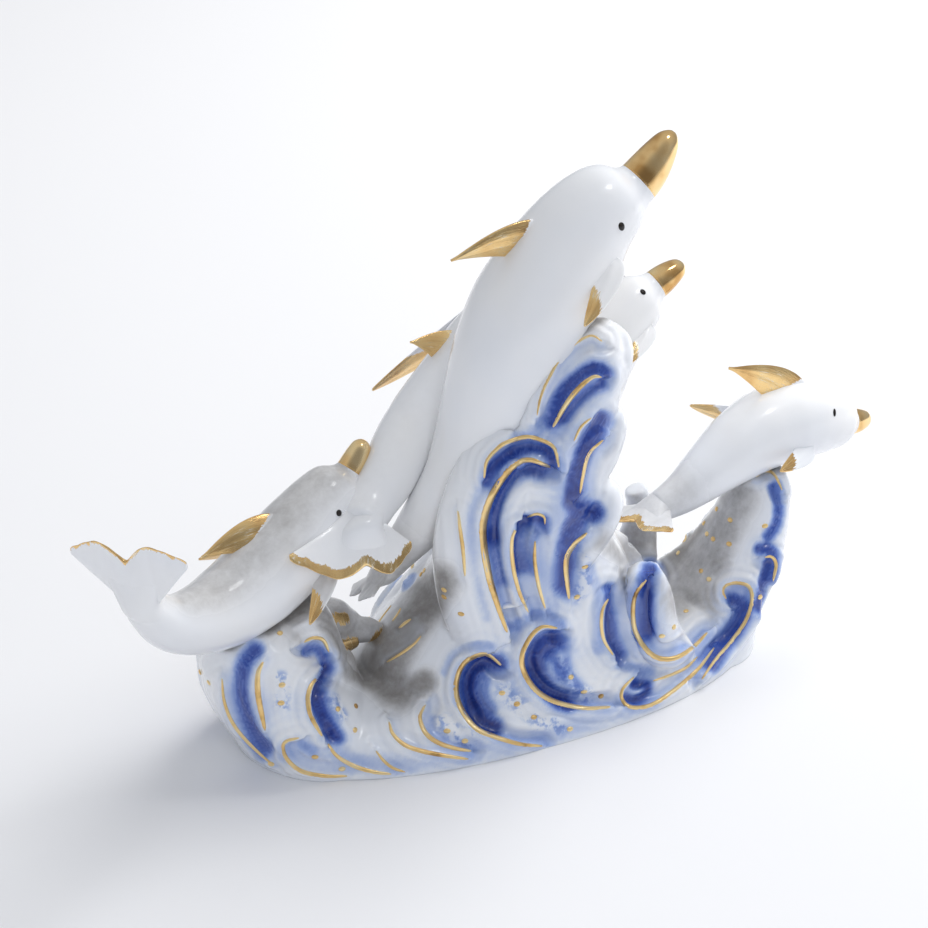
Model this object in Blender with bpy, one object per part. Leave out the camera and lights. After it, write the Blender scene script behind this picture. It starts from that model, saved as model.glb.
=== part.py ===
"""A porcelain figurine: five dolphins leaping from a mound of curling waves.

The real thing is slip cast and fired as one piece, so everything here ends in one closed solid.
X runs along the length, Y away from the viewer, Z up. The origin is the middle of the flat foot.
All sizes are in millimetres and MM turns them into metres when a mesh is made.
"""

from dataclasses import dataclass
from math import cos, pi, radians, sin

import bmesh
import bpy
import numpy as np
from mathutils import Vector
from mathutils.bvhtree import BVHTree

MM = 0.001

# Driving dimensions of the wave base
FOOT_HALF_LENGTH = 95.8
FOOT_HALF_DEPTH = 45.3
FOOT_SQUARENESS = 2.2
SADDLE_HEIGHT = 17.0
MOUND_HEIGHT = 142.0
MOUND_HALF_LENGTH = 60.0
LEFT_ARM_HEIGHT = 49.0
LEFT_ARM_FLARE = 20.0
RIGHT_ARM_HEIGHT = 56.0
RIGHT_ARM_FLARE = 28.0
CURL_RELIEF = 3.0

# Fineness of the wave surface
CLAY_VOXEL = 1.6
WAVE_TRIANGLES = 6400
SWEEP_SIDES = 20
SEAM_MERGE = 0.02

# Driving dimensions of the dolphins
BODY_WIDTH_RATIO = 0.94
FIN_THICKNESS = 2.6
FLUKE_THICKNESS = 3.0
FLIPPER_CHORD = 0.42
FLIPPER_RISE = 0.22
DORSAL_RISE = 0.2

# A fin's section: how far along the chord, and how far out as a share of its thickness
FIN_SECTION = ((0, 0.06), (0.25, 0.5), (0.65, 0.4), (1, 0.06), (1, -0.06), (0.65, -0.4),
               (0.25, -0.5), (0, -0.06))


@dataclass(frozen=True)
class Station:
    """One horizontal oval of a wave mass: its centre and its two half sizes."""

    x: float
    y: float
    z: float
    half_length: float
    half_depth: float


@dataclass(frozen=True)
class Curl:
    """A shepherd's crook of raised clay, drawn on the upright front and laid on the waves."""

    root: tuple
    eye: tuple
    radius: float
    turn: float
    sag: float = 0.0
    width: float = 1.0


@dataclass(frozen=True)
class Dolphin:
    """One dolphin: its spine from beak tip to tail stock, and the sizes that hang on it.

    The dorsal fin has a place along the body, a chord and a tip. Each flipper is given by where
    its tip reaches and where the near one's flat side looks, and the flukes by the way they
    spread, the way they trail and how their tips curl. The beak's root is a share of the girth.
    """

    name: str
    spine: tuple
    girth: float
    back: tuple
    beak: float
    dorsal: tuple
    dorsal_tip: tuple
    flipper_tips: tuple
    fluke_span: float
    fluke_length: float
    fluke_side: tuple
    fluke_aft: tuple
    fluke_cup: tuple = (0.0, 0.0, 0.0)
    beak_root: float = 0.33
    flipper_share: float = 0.13
    flipper_face: tuple = (-0.4, -0.8, 0.45)
    tail: float = 0.3
    sides: int = 14
    rings: int = 17


DOLPHINS = (
    Dolphin(
        "big_dolphin",
        spine=((55.5, -12, 195), (43.5, -12, 180.5), (30.5, -12, 174), (24.5, -12, 169.5),
               (16.5, -12, 160.5), (9, -12, 150), (2, -12, 138), (-5, -11, 119),
               (-11, -9, 101), (-18, -6, 85), (-27, -3, 73), (-35, 0, 62), (-42, 2, 52.5)),
        girth=20.6, back=(-0.75, 0.0, 0.66), beak=19.5, dorsal=(0.31, 13.0),
        dorsal_tip=(-24, -12, 166.5), flipper_tips=((10.5, -36, 146.5), (20, 16, 152)),
        fluke_span=24.0, fluke_length=13.0, fluke_side=(-0.15, -0.9, 0.35),
        fluke_aft=(-0.8, 0.1, -0.55), beak_root=0.36, tail=0.23, flipper_share=0.145, sides=18, rings=25),
    Dolphin(
        "rear_right_dolphin",
        spine=((81, 20, 131), (73, 20, 127), (64, 20, 121.5), (52.5, 20, 112), (42, 19, 99),
               (33, 18.5, 84), (28.5, 19, 65), (26, 20, 45), (26, 22, 30)),
        girth=15.0, back=(-0.7, 0.0, 0.7), beak=12.0, dorsal=(0.36, 15.0),
        dorsal_tip=(26, 24, 122), flipper_tips=((49, 3, 107), (50, 38, 103)),
        fluke_span=24.0, fluke_length=14.0, fluke_side=(0.1, 1.0, 0.0),
        fluke_aft=(0.1, 0.2, -1.0), beak_root=0.36, flipper_share=0.1),
    Dolphin(
        "rear_left_dolphin",
        spine=((38, 27, 156), (32, 26, 145), (24, 24, 135), (11, 22, 121), (-3, 19, 109.5),
               (-16, 16, 100.5), (-29, 11, 92.5), (-39, 5, 85), (-47, 0, 80), (-54, -6, 77)),
        girth=14.0, back=(-0.72, 0.1, 0.68), beak=14.0, dorsal=(0.47, 13.0),
        dorsal_tip=(-22, 21, 124), flipper_tips=((-1, 5, 104), (-26, 42, 98)),
        fluke_span=39.0, fluke_length=17.0, fluke_side=(0.97, -0.23, -0.05),
        fluke_aft=(-0.53, -0.5, -0.65), fluke_cup=(-5.6, -0.7, 6.4), tail=0.5),
    Dolphin(
        "left_dolphin",
        spine=((-43.4, 12, 97.5), (-49, 11, 88.5), (-59, 8, 81), (-72, 4, 71.5), (-86, 0, 63.5),
               (-100, -5, 60), (-114, -11, 61), (-126, -16, 66.5), (-134, -20, 75.5)),
        girth=15.5, back=(-0.6, -0.1, 0.75), beak=11.0, dorsal=(0.42, 19.0),
        dorsal_tip=(-106, 2, 75), flipper_tips=((-78, -18, 53), (-75, 28, 58)),
        fluke_span=40.0, fluke_length=28.0, fluke_side=(0.7, -0.71, 0.05),
        fluke_aft=(-0.42, -0.12, 0.9), beak_root=0.31, tail=0.4,
        flipper_share=0.25),
    Dolphin(
        "right_dolphin",
        spine=((152, 6, 62), (143, 5, 63.2), (131, 4, 67.5), (119, 3, 70.5), (107, 2, 70.8),
               (94, 0, 68), (81, -2, 62.5), (69, -4, 57.5), (58, -5, 54.5)),
        girth=14.6, back=(-0.1, 0.0, 1.0), beak=8.5, dorsal=(0.41, 15.0),
        dorsal_tip=(90, 3, 97), flipper_tips=((98.5, -19, 65.5), (87, 22, 75)),
        fluke_span=32.0, fluke_length=15.0, fluke_side=(0.31, -0.94, 0.13),
        fluke_aft=(-0.98, -0.05, -0.08), beak_root=0.32, tail=0.36,
        flipper_share=0.29),
)

FRONT_CURLS = (
    Curl(root=(-5, 118), eye=(18, 131), radius=9.5, turn=200, width=1.1),
    Curl(root=(1, 112), eye=(14, 120), radius=7.0, turn=170),
    Curl(root=(12, 85), eye=(22, 97), radius=6.0, turn=150),
    Curl(root=(-20, 84), eye=(-9, 97), radius=13.0, turn=210, width=1.2),
    Curl(root=(-17, 44), eye=(-9, 92), radius=10.5, turn=190, sag=4.0, width=1.4),
    Curl(root=(-10, 49), eye=(-8, 78), radius=6.5, turn=230),
    Curl(root=(6, 48), eye=(13, 62), radius=7.5, turn=160, width=1.2),
    Curl(root=(20, 8), eye=(0, 30), radius=11.5, turn=210, sag=2.0, width=1.5),
    Curl(root=(-9, 3), eye=(-27, 29), radius=10.5, turn=230, sag=2.0, width=1.4),
    Curl(root=(64, 12), eye=(38, 36), radius=6.5, turn=190, sag=6.0, width=1.3),
    Curl(root=(64, 8), eye=(30, 10), radius=5.5, turn=120, sag=3.0),
    Curl(root=(64, 4), eye=(84, 18), radius=7.0, turn=230, width=1.3),
    Curl(root=(92, 22), eye=(101, 50), radius=6.5, turn=180, width=1.2),
    Curl(root=(-86, 8), eye=(-92, 37), radius=7.0, turn=200, width=1.3),
    Curl(root=(-70, 8), eye=(-76, 31), radius=6.0, turn=200, width=1.2),
    Curl(root=(-36, 5), eye=(-56, 18), radius=5.5, turn=190),
)


def smooth_path(points, count):
    """Points at even steps of length along a smooth curve through the given points."""
    knots = np.array(points, float)
    padded = np.vstack([2 * knots[0] - knots[1], knots, 2 * knots[-1] - knots[-2]])
    dense = []
    for index in range(1, len(padded) - 2):
        before, start, end, after = padded[index - 1:index + 3]
        for t in np.linspace(0.0, 1.0, 24, endpoint=False):
            dense.append(0.5 * (2 * start + (end - before) * t
                                + (2 * before - 5 * start + 4 * end - after) * t ** 2
                                + (3 * start - before - 3 * end + after) * t ** 3))
    dense.append(padded[-2])
    dense = np.array(dense)
    steps = np.linalg.norm(np.diff(dense, axis=0), axis=1)
    travelled = np.concatenate([[0.0], np.cumsum(steps)])
    wanted = np.linspace(0.0, travelled[-1], count)
    return np.stack([np.interp(wanted, travelled, dense[:, axis]) for axis in range(3)], axis=1)


def unit(vector):
    """The vector at length one."""
    return np.asarray(vector, float) / np.linalg.norm(vector)


def closed_loft(name, rings):
    """A closed body through rings of points, with a fan of faces at each end."""
    bm = bmesh.new()
    loops = [[bm.verts.new(Vector(point) * MM) for point in ring] for ring in rings]
    for near, far in zip(loops, loops[1:]):
        for index in range(len(near)):
            following = (index + 1) % len(near)
            bm.faces.new((near[index], near[following], far[following], far[index]))
    for loop in (loops[0], loops[-1]):
        middle = bm.verts.new(sum((vert.co for vert in loop), Vector()) / len(loop))
        for index in range(len(loop)):
            bm.faces.new((loop[index], loop[(index + 1) % len(loop)], middle))
    bmesh.ops.recalc_face_normals(bm, faces=bm.faces)
    if bm.calc_volume(signed=True) < 0:
        bmesh.ops.reverse_faces(bm, faces=bm.faces)
    mesh = bpy.data.meshes.new(name)
    bm.to_mesh(mesh)
    bm.free()
    body = bpy.data.objects.new(name, mesh)
    bpy.context.scene.collection.objects.link(body)
    return body


def oval(centre, across, along, half_across, half_along, sides, power=2.0):
    """A closed ring: an ellipse, or a squarer oval with a higher power."""
    ring = []
    for index in range(sides):
        angle = 2 * pi * index / sides
        u = abs(cos(angle)) ** (2 / power) * (1 if cos(angle) >= 0 else -1)
        v = abs(sin(angle)) ** (2 / power) * (1 if sin(angle) >= 0 else -1)
        ring.append(np.asarray(centre) + half_across * u * across + half_along * v * along)
    return ring


def wave_mass(name, stations, power=2.0):
    """A mass of water stacked from horizontal ovals, closed at the top and the bottom."""
    x_axis = np.array([1.0, 0.0, 0.0])
    y_axis = np.array([0.0, 1.0, 0.0])
    rings = [oval((s.x, s.y, s.z), x_axis, y_axis, s.half_length, s.half_depth, 48, power)
             for s in stations]
    return closed_loft(name, rings)


def foot_and_saddles():
    """The boat-shaped foot with its rounded rim, which joins the mound and the two arms."""
    stations = []
    for share, length, depth in ((-0.25, 1.0, 1.0), (0.0, 1.0, 1.0), (0.25, 1.01, 0.985),
                                 (0.5, 1.015, 0.93), (0.72, 1.01, 0.83), (0.88, 0.99, 0.68),
                                 (0.97, 0.96, 0.48), (1.0, 0.9, 0.25)):
        stations.append(Station(0, 0, share * SADDLE_HEIGHT,
                                length * FOOT_HALF_LENGTH, depth * FOOT_HALF_DEPTH))
    return wave_mass("foot", stations, FOOT_SQUARENESS)


def central_mound():
    """The tall wave in the middle, which leans forward and climbs to the big dolphin's belly."""
    profile = ((-0.03, 6, 0, 1.0, 0.95), (0.09, 6, 0, 0.97, 0.9), (0.18, 5, 0, 0.84, 0.78),
               (0.31, 8, -4, 0.6, 0.66), (0.45, 6, -10, 0.43, 0.55), (0.58, 6, -16, 0.38, 0.45),
               (0.73, 9, -22, 0.32, 0.36), (0.86, 16, -26, 0.23, 0.27), (0.95, 20, -27, 0.15, 0.2),
               (1.0, 22, -27, 0.06, 0.08))
    stations = [Station(x, y, share * MOUND_HEIGHT, length * MOUND_HALF_LENGTH,
                        depth * FOOT_HALF_DEPTH)
                for share, x, y, length, depth in profile]
    return wave_mass("mound", stations)


def left_arm():
    """The wave at the left end, flaring outwards under the left dolphin."""
    reach = FOOT_HALF_LENGTH - 28
    profile = ((-0.1, 0.0, 0, 25, 0.7), (0.1, 0.2, 0, 26, 0.69), (0.3, 0.5, -1, 25, 0.63),
               (0.5, 0.84, -1, 22, 0.55), (0.72, 1.1, -2, 18.5, 0.45), (0.92, 1.2, -3, 14, 0.34),
               (1.0, 1.1, -3, 8, 0.18))
    stations = [Station(-reach - lean * LEFT_ARM_FLARE, y, share * LEFT_ARM_HEIGHT, length,
                        depth * FOOT_HALF_DEPTH)
                for share, lean, y, length, depth in profile]
    return wave_mass("left_arm", stations)


def right_arm():
    """The slimmer wave at the right end, flaring outwards under the right dolphin."""
    reach = FOOT_HALF_LENGTH - 23
    profile = ((-0.1, 0.0, 0, 21.5, 0.7), (0.2, 0.25, 0, 18.5, 0.6), (0.45, 0.68, -2, 14.5, 0.46),
               (0.7, 0.92, -2, 12.5, 0.34), (0.9, 1.05, -1, 10.5, 0.27), (1.0, 1.1, 0, 8, 0.2))
    stations = [Station(reach + lean * RIGHT_ARM_FLARE, y, share * RIGHT_ARM_HEIGHT, length,
                        depth * FOOT_HALF_DEPTH)
                for share, lean, y, length, depth in profile]
    return wave_mass("right_arm", stations)


def horn(name, points, radii, sides=SWEEP_SIDES):
    """A round sweep along a smooth path, with its radius running through the given values."""
    count = 6 * len(points)
    path = smooth_path(points, count)
    shares = np.linspace(0, 1, len(radii))
    rings = []
    across = None
    for index, centre in enumerate(path):
        ahead = unit(path[min(index + 1, count - 1)] - path[max(index - 1, 0)])
        if across is None:
            across = unit(np.cross(ahead, (0.31, 0.9, 0.3)))
        across = unit(across - ahead * np.dot(across, ahead))
        radius = np.interp(index / (count - 1), shares, radii)
        rings.append(oval(centre, across, np.cross(ahead, across), radius, radius, sides))
    return closed_loft(name, rings)


def side_lobes():
    """The rounded wave heads that stand out from the mound's outline and from its rear rim."""
    lobes = (
        (((18, -25, 106), (25, -27, 122), (27, -27, 133), (20, -26, 140)), (6, 6.5, 6, 4)),
        (((15, -26, 83), (22, -29, 97), (25, -29, 107), (19, -28, 113)), (6, 6.5, 5.5, 3.5)),
        (((11, -28, 59), (19, -31, 71), (23, -31, 80), (17, -30, 86)), (7, 7, 6, 4)),
        (((52, -30, 10), (44, -31, 24), (41, -31, 40), (38, -30, 49)), (8, 8, 7.5, 5.5)),
        (((-21, -22, 46), (-26, -23, 60), (-27, -23, 72), (-23, -22, 82)), (8, 7.5, 6.5, 4)),
        (((60, 18, 4), (66, 22, 20), (70, 24, 36), (67, 24, 46)), (13, 9, 6, 4)),
        (((-66, 0, 10), (-71, 0, 28), (-73, 0, 42), (-76, -1, 50)), (16, 14, 12, 9)),
        (((-30, 18, 6), (-24, 17, 22), (-16, 13, 38), (-12, 10, 52)), (14, 12, 10, 7)),
        (((36, 20, 4), (32, 20, 28), (28, 19, 52), (27, 18, 68)), (16, 14, 12, 9)),
    )
    return [horn(f"lobe_{index}", points, radii) for index, (points, radii) in enumerate(lobes)]


def shell_crest():
    """The small scallop-edged crest that stands behind the front lobe, near the middle."""
    return horn("shell", ((44, -12, 26), (41, -9, 38), (40, -7, 46), (43, -6, 50)), (10, 10, 8, 4))


def turtle():
    """The little turtle resting on the left arm's inner flank: a dome, a head and a flipper."""
    shell = horn("turtle_shell", ((-70, 10, 30), (-61, 10, 34), (-52, 10, 31), (-49, 10, 29)),
                 (8, 9.5, 8, 4))
    head = horn("turtle_head", ((-52, 9, 29), (-45, 9, 28), (-39, 9, 26.5)), (4.2, 4, 2.4))
    flipper = horn("turtle_flipper", ((-58, 4, 28), (-55, 2, 22), (-53, 1, 17)), (3.2, 3.4, 2))
    return [shell, head, flipper]


def rear_pearl():
    """The small ball of foam held behind the mound's left ridge."""
    return horn("pearl", ((-29, 12, 22), (-28, 12, 31), (-27, 12, 40)), (5, 3.8, 2.8))


def curl_line(curl, count=26):
    """The crook's line on the upright front: a stem, then a closing spiral round its eye."""
    eye_x, eye_z = curl.eye
    start = np.array([eye_x - curl.radius, eye_z])
    root = np.array(curl.root, float)
    knee = np.array([start[0], min(root[1], start[1]) - curl.sag + 0.25 * (start[1] - root[1])])
    stem = [(1 - t) ** 2 * root + 2 * t * (1 - t) * knee + t ** 2 * start
            for t in np.linspace(0, 1, count // 2, endpoint=False)]
    spiral = []
    for t in np.linspace(0, 1, count):
        angle = pi - radians(curl.turn) * t
        radius = curl.radius * (1 - 0.45 * t)
        spiral.append(np.array([eye_x + radius * cos(angle), eye_z + radius * sin(angle)]))
    return stem + spiral


def curl_ridge(name, curl, surface, facing):
    """One crook of clay laid on the wave surface, seen from the front or from the back."""
    bed = []
    for x, z in curl_line(curl):
        origin = Vector((x, -150.0 * facing, z)) * MM
        hit = surface.ray_cast(origin, Vector((0, facing, 0)), 0.15)[0]
        if hit is not None:
            bed.append((x, hit.y / MM, z))
    if len(bed) < 8:
        return None
    relief = CURL_RELIEF * curl.width
    radii = [relief * size for size in (0.45, 0.9, 1.0, 1.0, 1.0, 0.8, 0.4)]
    knots = smooth_path(bed, 9)
    return horn(name, knots, radii, sides=10)


def surface_of(bodies):
    """A ray-casting tree over several bodies together."""
    verts = []
    faces = []
    for body in bodies:
        start = len(verts)
        verts.extend(vert.co.copy() for vert in body.data.vertices)
        faces.extend([start + index for index in poly.vertices] for poly in body.data.polygons)
    return BVHTree.FromPolygons(verts, faces)


def joined(name, bodies):
    """One object holding the meshes of all the bodies, which are then deleted."""
    bm = bmesh.new()
    for body in bodies:
        bm.from_mesh(body.data)
        bpy.data.objects.remove(body)
    mesh = bpy.data.meshes.new(name)
    bm.to_mesh(mesh)
    bm.free()
    whole = bpy.data.objects.new(name, mesh)
    bpy.context.scene.collection.objects.link(whole)
    return whole


def evaluated_copy(body, name):
    """The body with its modifiers worked out, as a plain mesh in a new object."""
    graph = bpy.context.evaluated_depsgraph_get()
    mesh = bpy.data.meshes.new_from_object(body.evaluated_get(graph))
    copy = bpy.data.objects.new(name, mesh)
    bpy.context.scene.collection.objects.link(copy)
    bpy.data.objects.remove(body)
    return copy


def cut_flat(body, height=0.0):
    """Everything below the height is sliced off, and the cut is closed with one flat face."""
    bm = bmesh.new()
    bm.from_mesh(body.data)
    geometry = bm.verts[:] + bm.edges[:] + bm.faces[:]
    bmesh.ops.bisect_plane(bm, geom=geometry, plane_co=(0, 0, height * MM), plane_no=(0, 0, 1),
                           clear_inner=True, dist=1e-7)
    rim = [edge for edge in bm.edges if edge.is_boundary]
    bmesh.ops.holes_fill(bm, edges=rim, sides=0)
    bmesh.ops.triangulate(bm, faces=[face for face in bm.faces if len(face.verts) > 4])
    bmesh.ops.recalc_face_normals(bm, faces=bm.faces)
    bm.to_mesh(body.data)
    bm.free()


def waves():
    """The whole wave base: masses and curls kneaded together, smoothed and cut flat below."""
    masses = [foot_and_saddles(), central_mound(), left_arm(), right_arm(), shell_crest(),
              rear_pearl()]
    masses += side_lobes() + turtle()
    surface = surface_of(masses)
    curls = []
    for index, curl in enumerate(FRONT_CURLS):
        for facing in (1, -1):
            curls.append(curl_ridge(f"curl_{index}_{facing}", curl, surface, facing))
    clay = joined("clay", masses + [curl for curl in curls if curl is not None])
    knead = clay.modifiers.new("knead", "REMESH")
    knead.mode = "VOXEL"
    knead.voxel_size = CLAY_VOXEL * MM
    soften = clay.modifiers.new("soften", "SMOOTH")
    soften.factor = 0.5
    soften.iterations = 2
    clay = evaluated_copy(clay, "waves")
    thin = clay.modifiers.new("thin", "DECIMATE")
    thin.ratio = WAVE_TRIANGLES / (2 * len(clay.data.polygons))
    clay = evaluated_copy(clay, "waves")
    cut_flat(clay)
    return clay


# The body's half height along it, from the beak's root to the tail stock, as shares of its girth
BODY_PROFILE = (
    (0.0, 0.36), (0.012, 0.44), (0.035, 0.56), (0.08, 0.70), (0.15, 0.83), (0.24, 0.94),
    (0.34, 1.0), (0.46, 0.97), (0.60, 0.84), (0.74, 0.65), (0.88, 0.45), (1.0, 0.30),
)
BEAK_TIP_SHARE = 0.3
WAIST_SHARE = 0.45


class DolphinBuilder:
    """Lofts one dolphin's body along its spine and sets its fins on it."""

    def __init__(self, plan):
        self.plan = plan
        self.path = smooth_path(plan.spine, 121)
        self.length = float(np.linalg.norm(np.diff(self.path, axis=0), axis=1).sum())

        self.beak_share = plan.beak / self.length
        self.headings = self.find_headings()
        self.backs = self.carry_back(start=len(self.path) // 3)

    def find_headings(self):
        """The way to the beak at each point of the path."""
        last = len(self.path) - 1
        return [unit(self.path[max(index - 3, 0)] - self.path[min(index + 3, last)])
                for index in range(last + 1)]

    def carry_back(self, start):
        """The back direction, carried along the path from its start without any twist."""
        backs = [None] * len(self.path)
        for order in (range(start, len(self.path)), range(start, -1, -1)):
            back = np.array(self.plan.back, float)
            for index in order:
                back = unit(back - self.headings[index] * np.dot(back, self.headings[index]))
                backs[index] = back
        return backs

    def frame_at(self, share):
        """Centre, heading to the beak, back and side directions at a share of the length."""
        index = int(round(min(max(share, 0.0), 1.0) * (len(self.path) - 1)))
        heading = self.headings[index]
        back = self.backs[index]
        return self.path[index], heading, back, np.cross(heading, back)

    def half_height(self, share):
        """The body's half height at a share of its length."""
        if share < self.beak_share:
            inner = share / self.beak_share
            blunt = min(1.0, 0.55 + 5 * inner)
            taper = BEAK_TIP_SHARE + (1 - BEAK_TIP_SHARE) * inner ** 0.8
            return self.plan.beak_root * taper * blunt * self.plan.girth
        shares, radii = zip(*BODY_PROFILE)
        stretched = (share - self.beak_share) / (1 - self.beak_share)
        radius = float(np.interp(stretched, shares, radii))
        thin_end = BODY_PROFILE[-1][1]
        slack = max(0.0, stretched - WAIST_SHARE) / (1 - WAIST_SHARE)
        return (radius + (self.plan.tail - thin_end) * slack) * self.plan.girth

    def body(self):
        """The body from beak tip to tail stock, a little narrower than it is high."""
        beak_rings = [self.beak_share * step for step in (0.02, 0.15, 0.5, 0.95)]
        start = self.beak_share + 0.008
        trunk = np.linspace(0, 1, self.plan.rings - len(beak_rings)) ** 1.15
        rings = []
        for share in beak_rings + [start + (1 - start) * step for step in trunk]:
            centre, _heading, back, side = self.frame_at(share)
            half = self.half_height(share)
            rings.append(oval(centre, side, back, half * BODY_WIDTH_RATIO, half, self.plan.sides))
        return closed_loft(f"{self.plan.name}_body", rings)

    def fin(self, name, front, rear, tip, rise, thickness):
        """A leaf-shaped fin lofted from a base line to a tip, along an axis that bends back."""
        middle = (front + rear) / 2
        chord = rear - front
        normal = unit(np.cross(chord, tip - middle + rise))
        rings = []
        for step in (0.0, 0.25, 0.5, 0.75, 0.92, 1.0):
            centre = ((1 - step) ** 2 * middle + 2 * step * (1 - step) * (middle + rise)
                      + step ** 2 * tip)
            onward = unit((1 - step) * rise + step * (tip - middle - rise))
            level = (1 - step) * unit(chord) + step * np.cross(onward, normal)
            span = unit(level) * np.linalg.norm(chord) * max(0.07, 1 - step ** 1.7)
            rings.append([centre + span * (along - 0.5)
                          + normal * thick * thickness * (1 - 0.75 * step)
                          for along, thick in FIN_SECTION])
        return closed_loft(name, rings)

    def dorsal_fin(self):
        """The swept-back fin on the back."""
        share, chord = self.plan.dorsal
        half = chord / 2 / self.length
        ends = []
        for end in (share - half, share + half):
            centre, _heading, back, _side = self.frame_at(end)
            ends.append(centre + back * self.half_height(end) * 0.85)
        _centre, _heading, back, _side = self.frame_at(share)
        tip = np.array(self.plan.dorsal_tip, float)
        rise = back * np.linalg.norm(tip - (ends[0] + ends[1]) / 2) * DORSAL_RISE
        return self.fin(f"{self.plan.name}_dorsal", ends[0], ends[1], tip, rise,
                        FIN_THICKNESS * self.plan.girth / 15)

    def flippers(self):
        """The two flippers behind the head, each reaching for its tip."""
        pair = []
        place = self.beak_share + self.plan.flipper_share
        centre, heading, back, side = self.frame_at(place)
        half = self.half_height(place)
        for hand, tip in zip((1, -1), self.plan.flipper_tips):
            out = unit(side * hand - back * 0.45)
            root = centre + out * half * 0.75
            onward = np.array(tip, float) - root
            reach = np.linalg.norm(onward)
            face = np.array(self.plan.flipper_face)
            if hand < 0:
                face = face - 2 * side * np.dot(face, side)
            chord = unit(np.cross(face, onward)) * reach * FLIPPER_CHORD / 2
            chord *= 1 if np.dot(chord, heading) >= 0 else -1
            pair.append(self.fin(f"{self.plan.name}_flipper_{hand}", root + chord, root - chord,
                                 np.array(tip, float), out * reach * FLIPPER_RISE, FIN_THICKNESS))
        return pair

    def flukes(self):
        """The tail: two swept lobes with a notch between them, as one bent leaf."""
        centre = self.path[-1]
        side = unit(self.plan.fluke_side)
        aft = np.array(self.plan.fluke_aft, float)
        aft = unit(aft - side * np.dot(aft, side))
        up = np.cross(side, aft)
        cup = np.array(self.plan.fluke_cup, float)
        stock = self.half_height(1.0)
        span = self.plan.fluke_span / 2
        deep = self.plan.fluke_length
        rings = []
        for step in (-1.0, -0.85, -0.6, -0.35, -0.15, 0.0, 0.15, 0.35, 0.6, 0.85, 1.0):
            width = abs(step)
            lead = -stock * 1.5 + (deep * 0.62 + stock * 1.5) * width ** 0.9
            trail = deep * (1.0 - 0.30 * max(0.0, 1 - width / 0.4) ** 1.5 - 0.28 * width ** 3)
            root = max(0.0, 1 - width / 0.42) ** 1.4
            thick = FLUKE_THICKNESS * (1 - 0.65 * width) + stock * 1.5 * root
            ring = []
            for along, high in FIN_SECTION:
                run = lead + (trail - lead) * along
                ring.append(centre + aft * run + side * step * span + up * high * thick
                            + cup * width ** 1.6)
            rings.append(ring)
        return closed_loft(f"{self.plan.name}_flukes", rings)

    def parts(self):
        """Everything of this dolphin, ready to be fused."""
        return [self.body(), self.dorsal_fin(), self.flukes(), *self.flippers()]


def tidy_seams(body):
    """The hair-thin slivers that a union leaves along its seams are closed up."""
    bm = bmesh.new()
    bm.from_mesh(body.data)
    bmesh.ops.remove_doubles(bm, verts=bm.verts, dist=SEAM_MERGE * MM)
    bmesh.ops.dissolve_degenerate(bm, dist=SEAM_MERGE * MM, edges=bm.edges)
    bmesh.ops.triangulate(bm, faces=bm.faces)
    bm.to_mesh(body.data)
    bm.free()


def fuse(base, others, name):
    """A Boolean union of the base and all the others, as one plain object."""
    pool = bpy.data.collections.new("to_fuse")
    bpy.context.scene.collection.children.link(pool)
    for body in others:
        bpy.context.scene.collection.objects.unlink(body)
        pool.objects.link(body)
    union = base.modifiers.new("union", "BOOLEAN")
    union.operation = "UNION"
    union.solver = "EXACT"
    union.operand_type = "COLLECTION"
    union.collection = pool
    whole = evaluated_copy(base, name)
    for body in others:
        bpy.data.objects.remove(body)
    bpy.data.collections.remove(pool)
    tidy_seams(whole)
    return whole


def porcelain():
    """White glazed porcelain."""
    material = bpy.data.materials.new("porcelain")
    material.use_nodes = True
    shader = material.node_tree.nodes["Principled BSDF"]
    shader.inputs["Base Color"].default_value = (0.84, 0.86, 0.90, 1.0)
    shader.inputs["Roughness"].default_value = 0.12
    shader.inputs["Metallic"].default_value = 0.0
    return material


def build():
    """Waves and dolphins fused into the one fired piece."""
    for old in list(bpy.data.objects):
        bpy.data.objects.remove(old)
    base = waves()
    parts = []
    for plan in DOLPHINS:
        parts += DolphinBuilder(plan).parts()
    figurine = fuse(base, parts, "dolphin_figurine")
    figurine.data.materials.clear()
    figurine.data.materials.append(porcelain())
    figurine.data.shade_smooth()
    figurine.data.set_sharp_from_angle(angle=radians(40))
    return figurine


build()
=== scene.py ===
"""Looks of a porcelain figurine: five dolphins leaping from a mound of curling waves.

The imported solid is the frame, and finer pieces take its place: the carved and painted waves, the
gilded brush lines and spots on them, each dolphin with its fins and eyes, and a small turtle.
Lengths are millimetres here, and MM turns them into metres when a mesh is made. The brush strokes
are given in pixels of the photograph, and are laid on the clay along its lines of sight.
"""

import logging
from dataclasses import dataclass, field
from enum import Enum
from math import cos, pi, radians, sin

import bmesh
import bpy
import numpy as np
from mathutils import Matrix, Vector
from mathutils.bvhtree import BVHTree


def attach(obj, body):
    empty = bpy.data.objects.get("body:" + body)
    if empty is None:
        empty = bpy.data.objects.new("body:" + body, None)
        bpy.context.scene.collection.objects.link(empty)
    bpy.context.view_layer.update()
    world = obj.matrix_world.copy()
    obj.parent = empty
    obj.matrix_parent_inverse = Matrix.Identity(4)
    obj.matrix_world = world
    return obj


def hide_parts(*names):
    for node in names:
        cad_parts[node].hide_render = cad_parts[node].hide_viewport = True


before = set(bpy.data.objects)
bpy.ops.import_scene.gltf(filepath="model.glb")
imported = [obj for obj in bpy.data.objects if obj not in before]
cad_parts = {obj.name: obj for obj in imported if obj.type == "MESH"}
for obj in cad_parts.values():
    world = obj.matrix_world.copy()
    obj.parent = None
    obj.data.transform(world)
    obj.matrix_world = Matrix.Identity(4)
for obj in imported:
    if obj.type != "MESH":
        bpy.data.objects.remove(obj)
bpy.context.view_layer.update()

LOG = logging.getLogger("figurine")

MM = 0.001
BODY = "root"
NODE = "dolphin_figurine"

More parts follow.
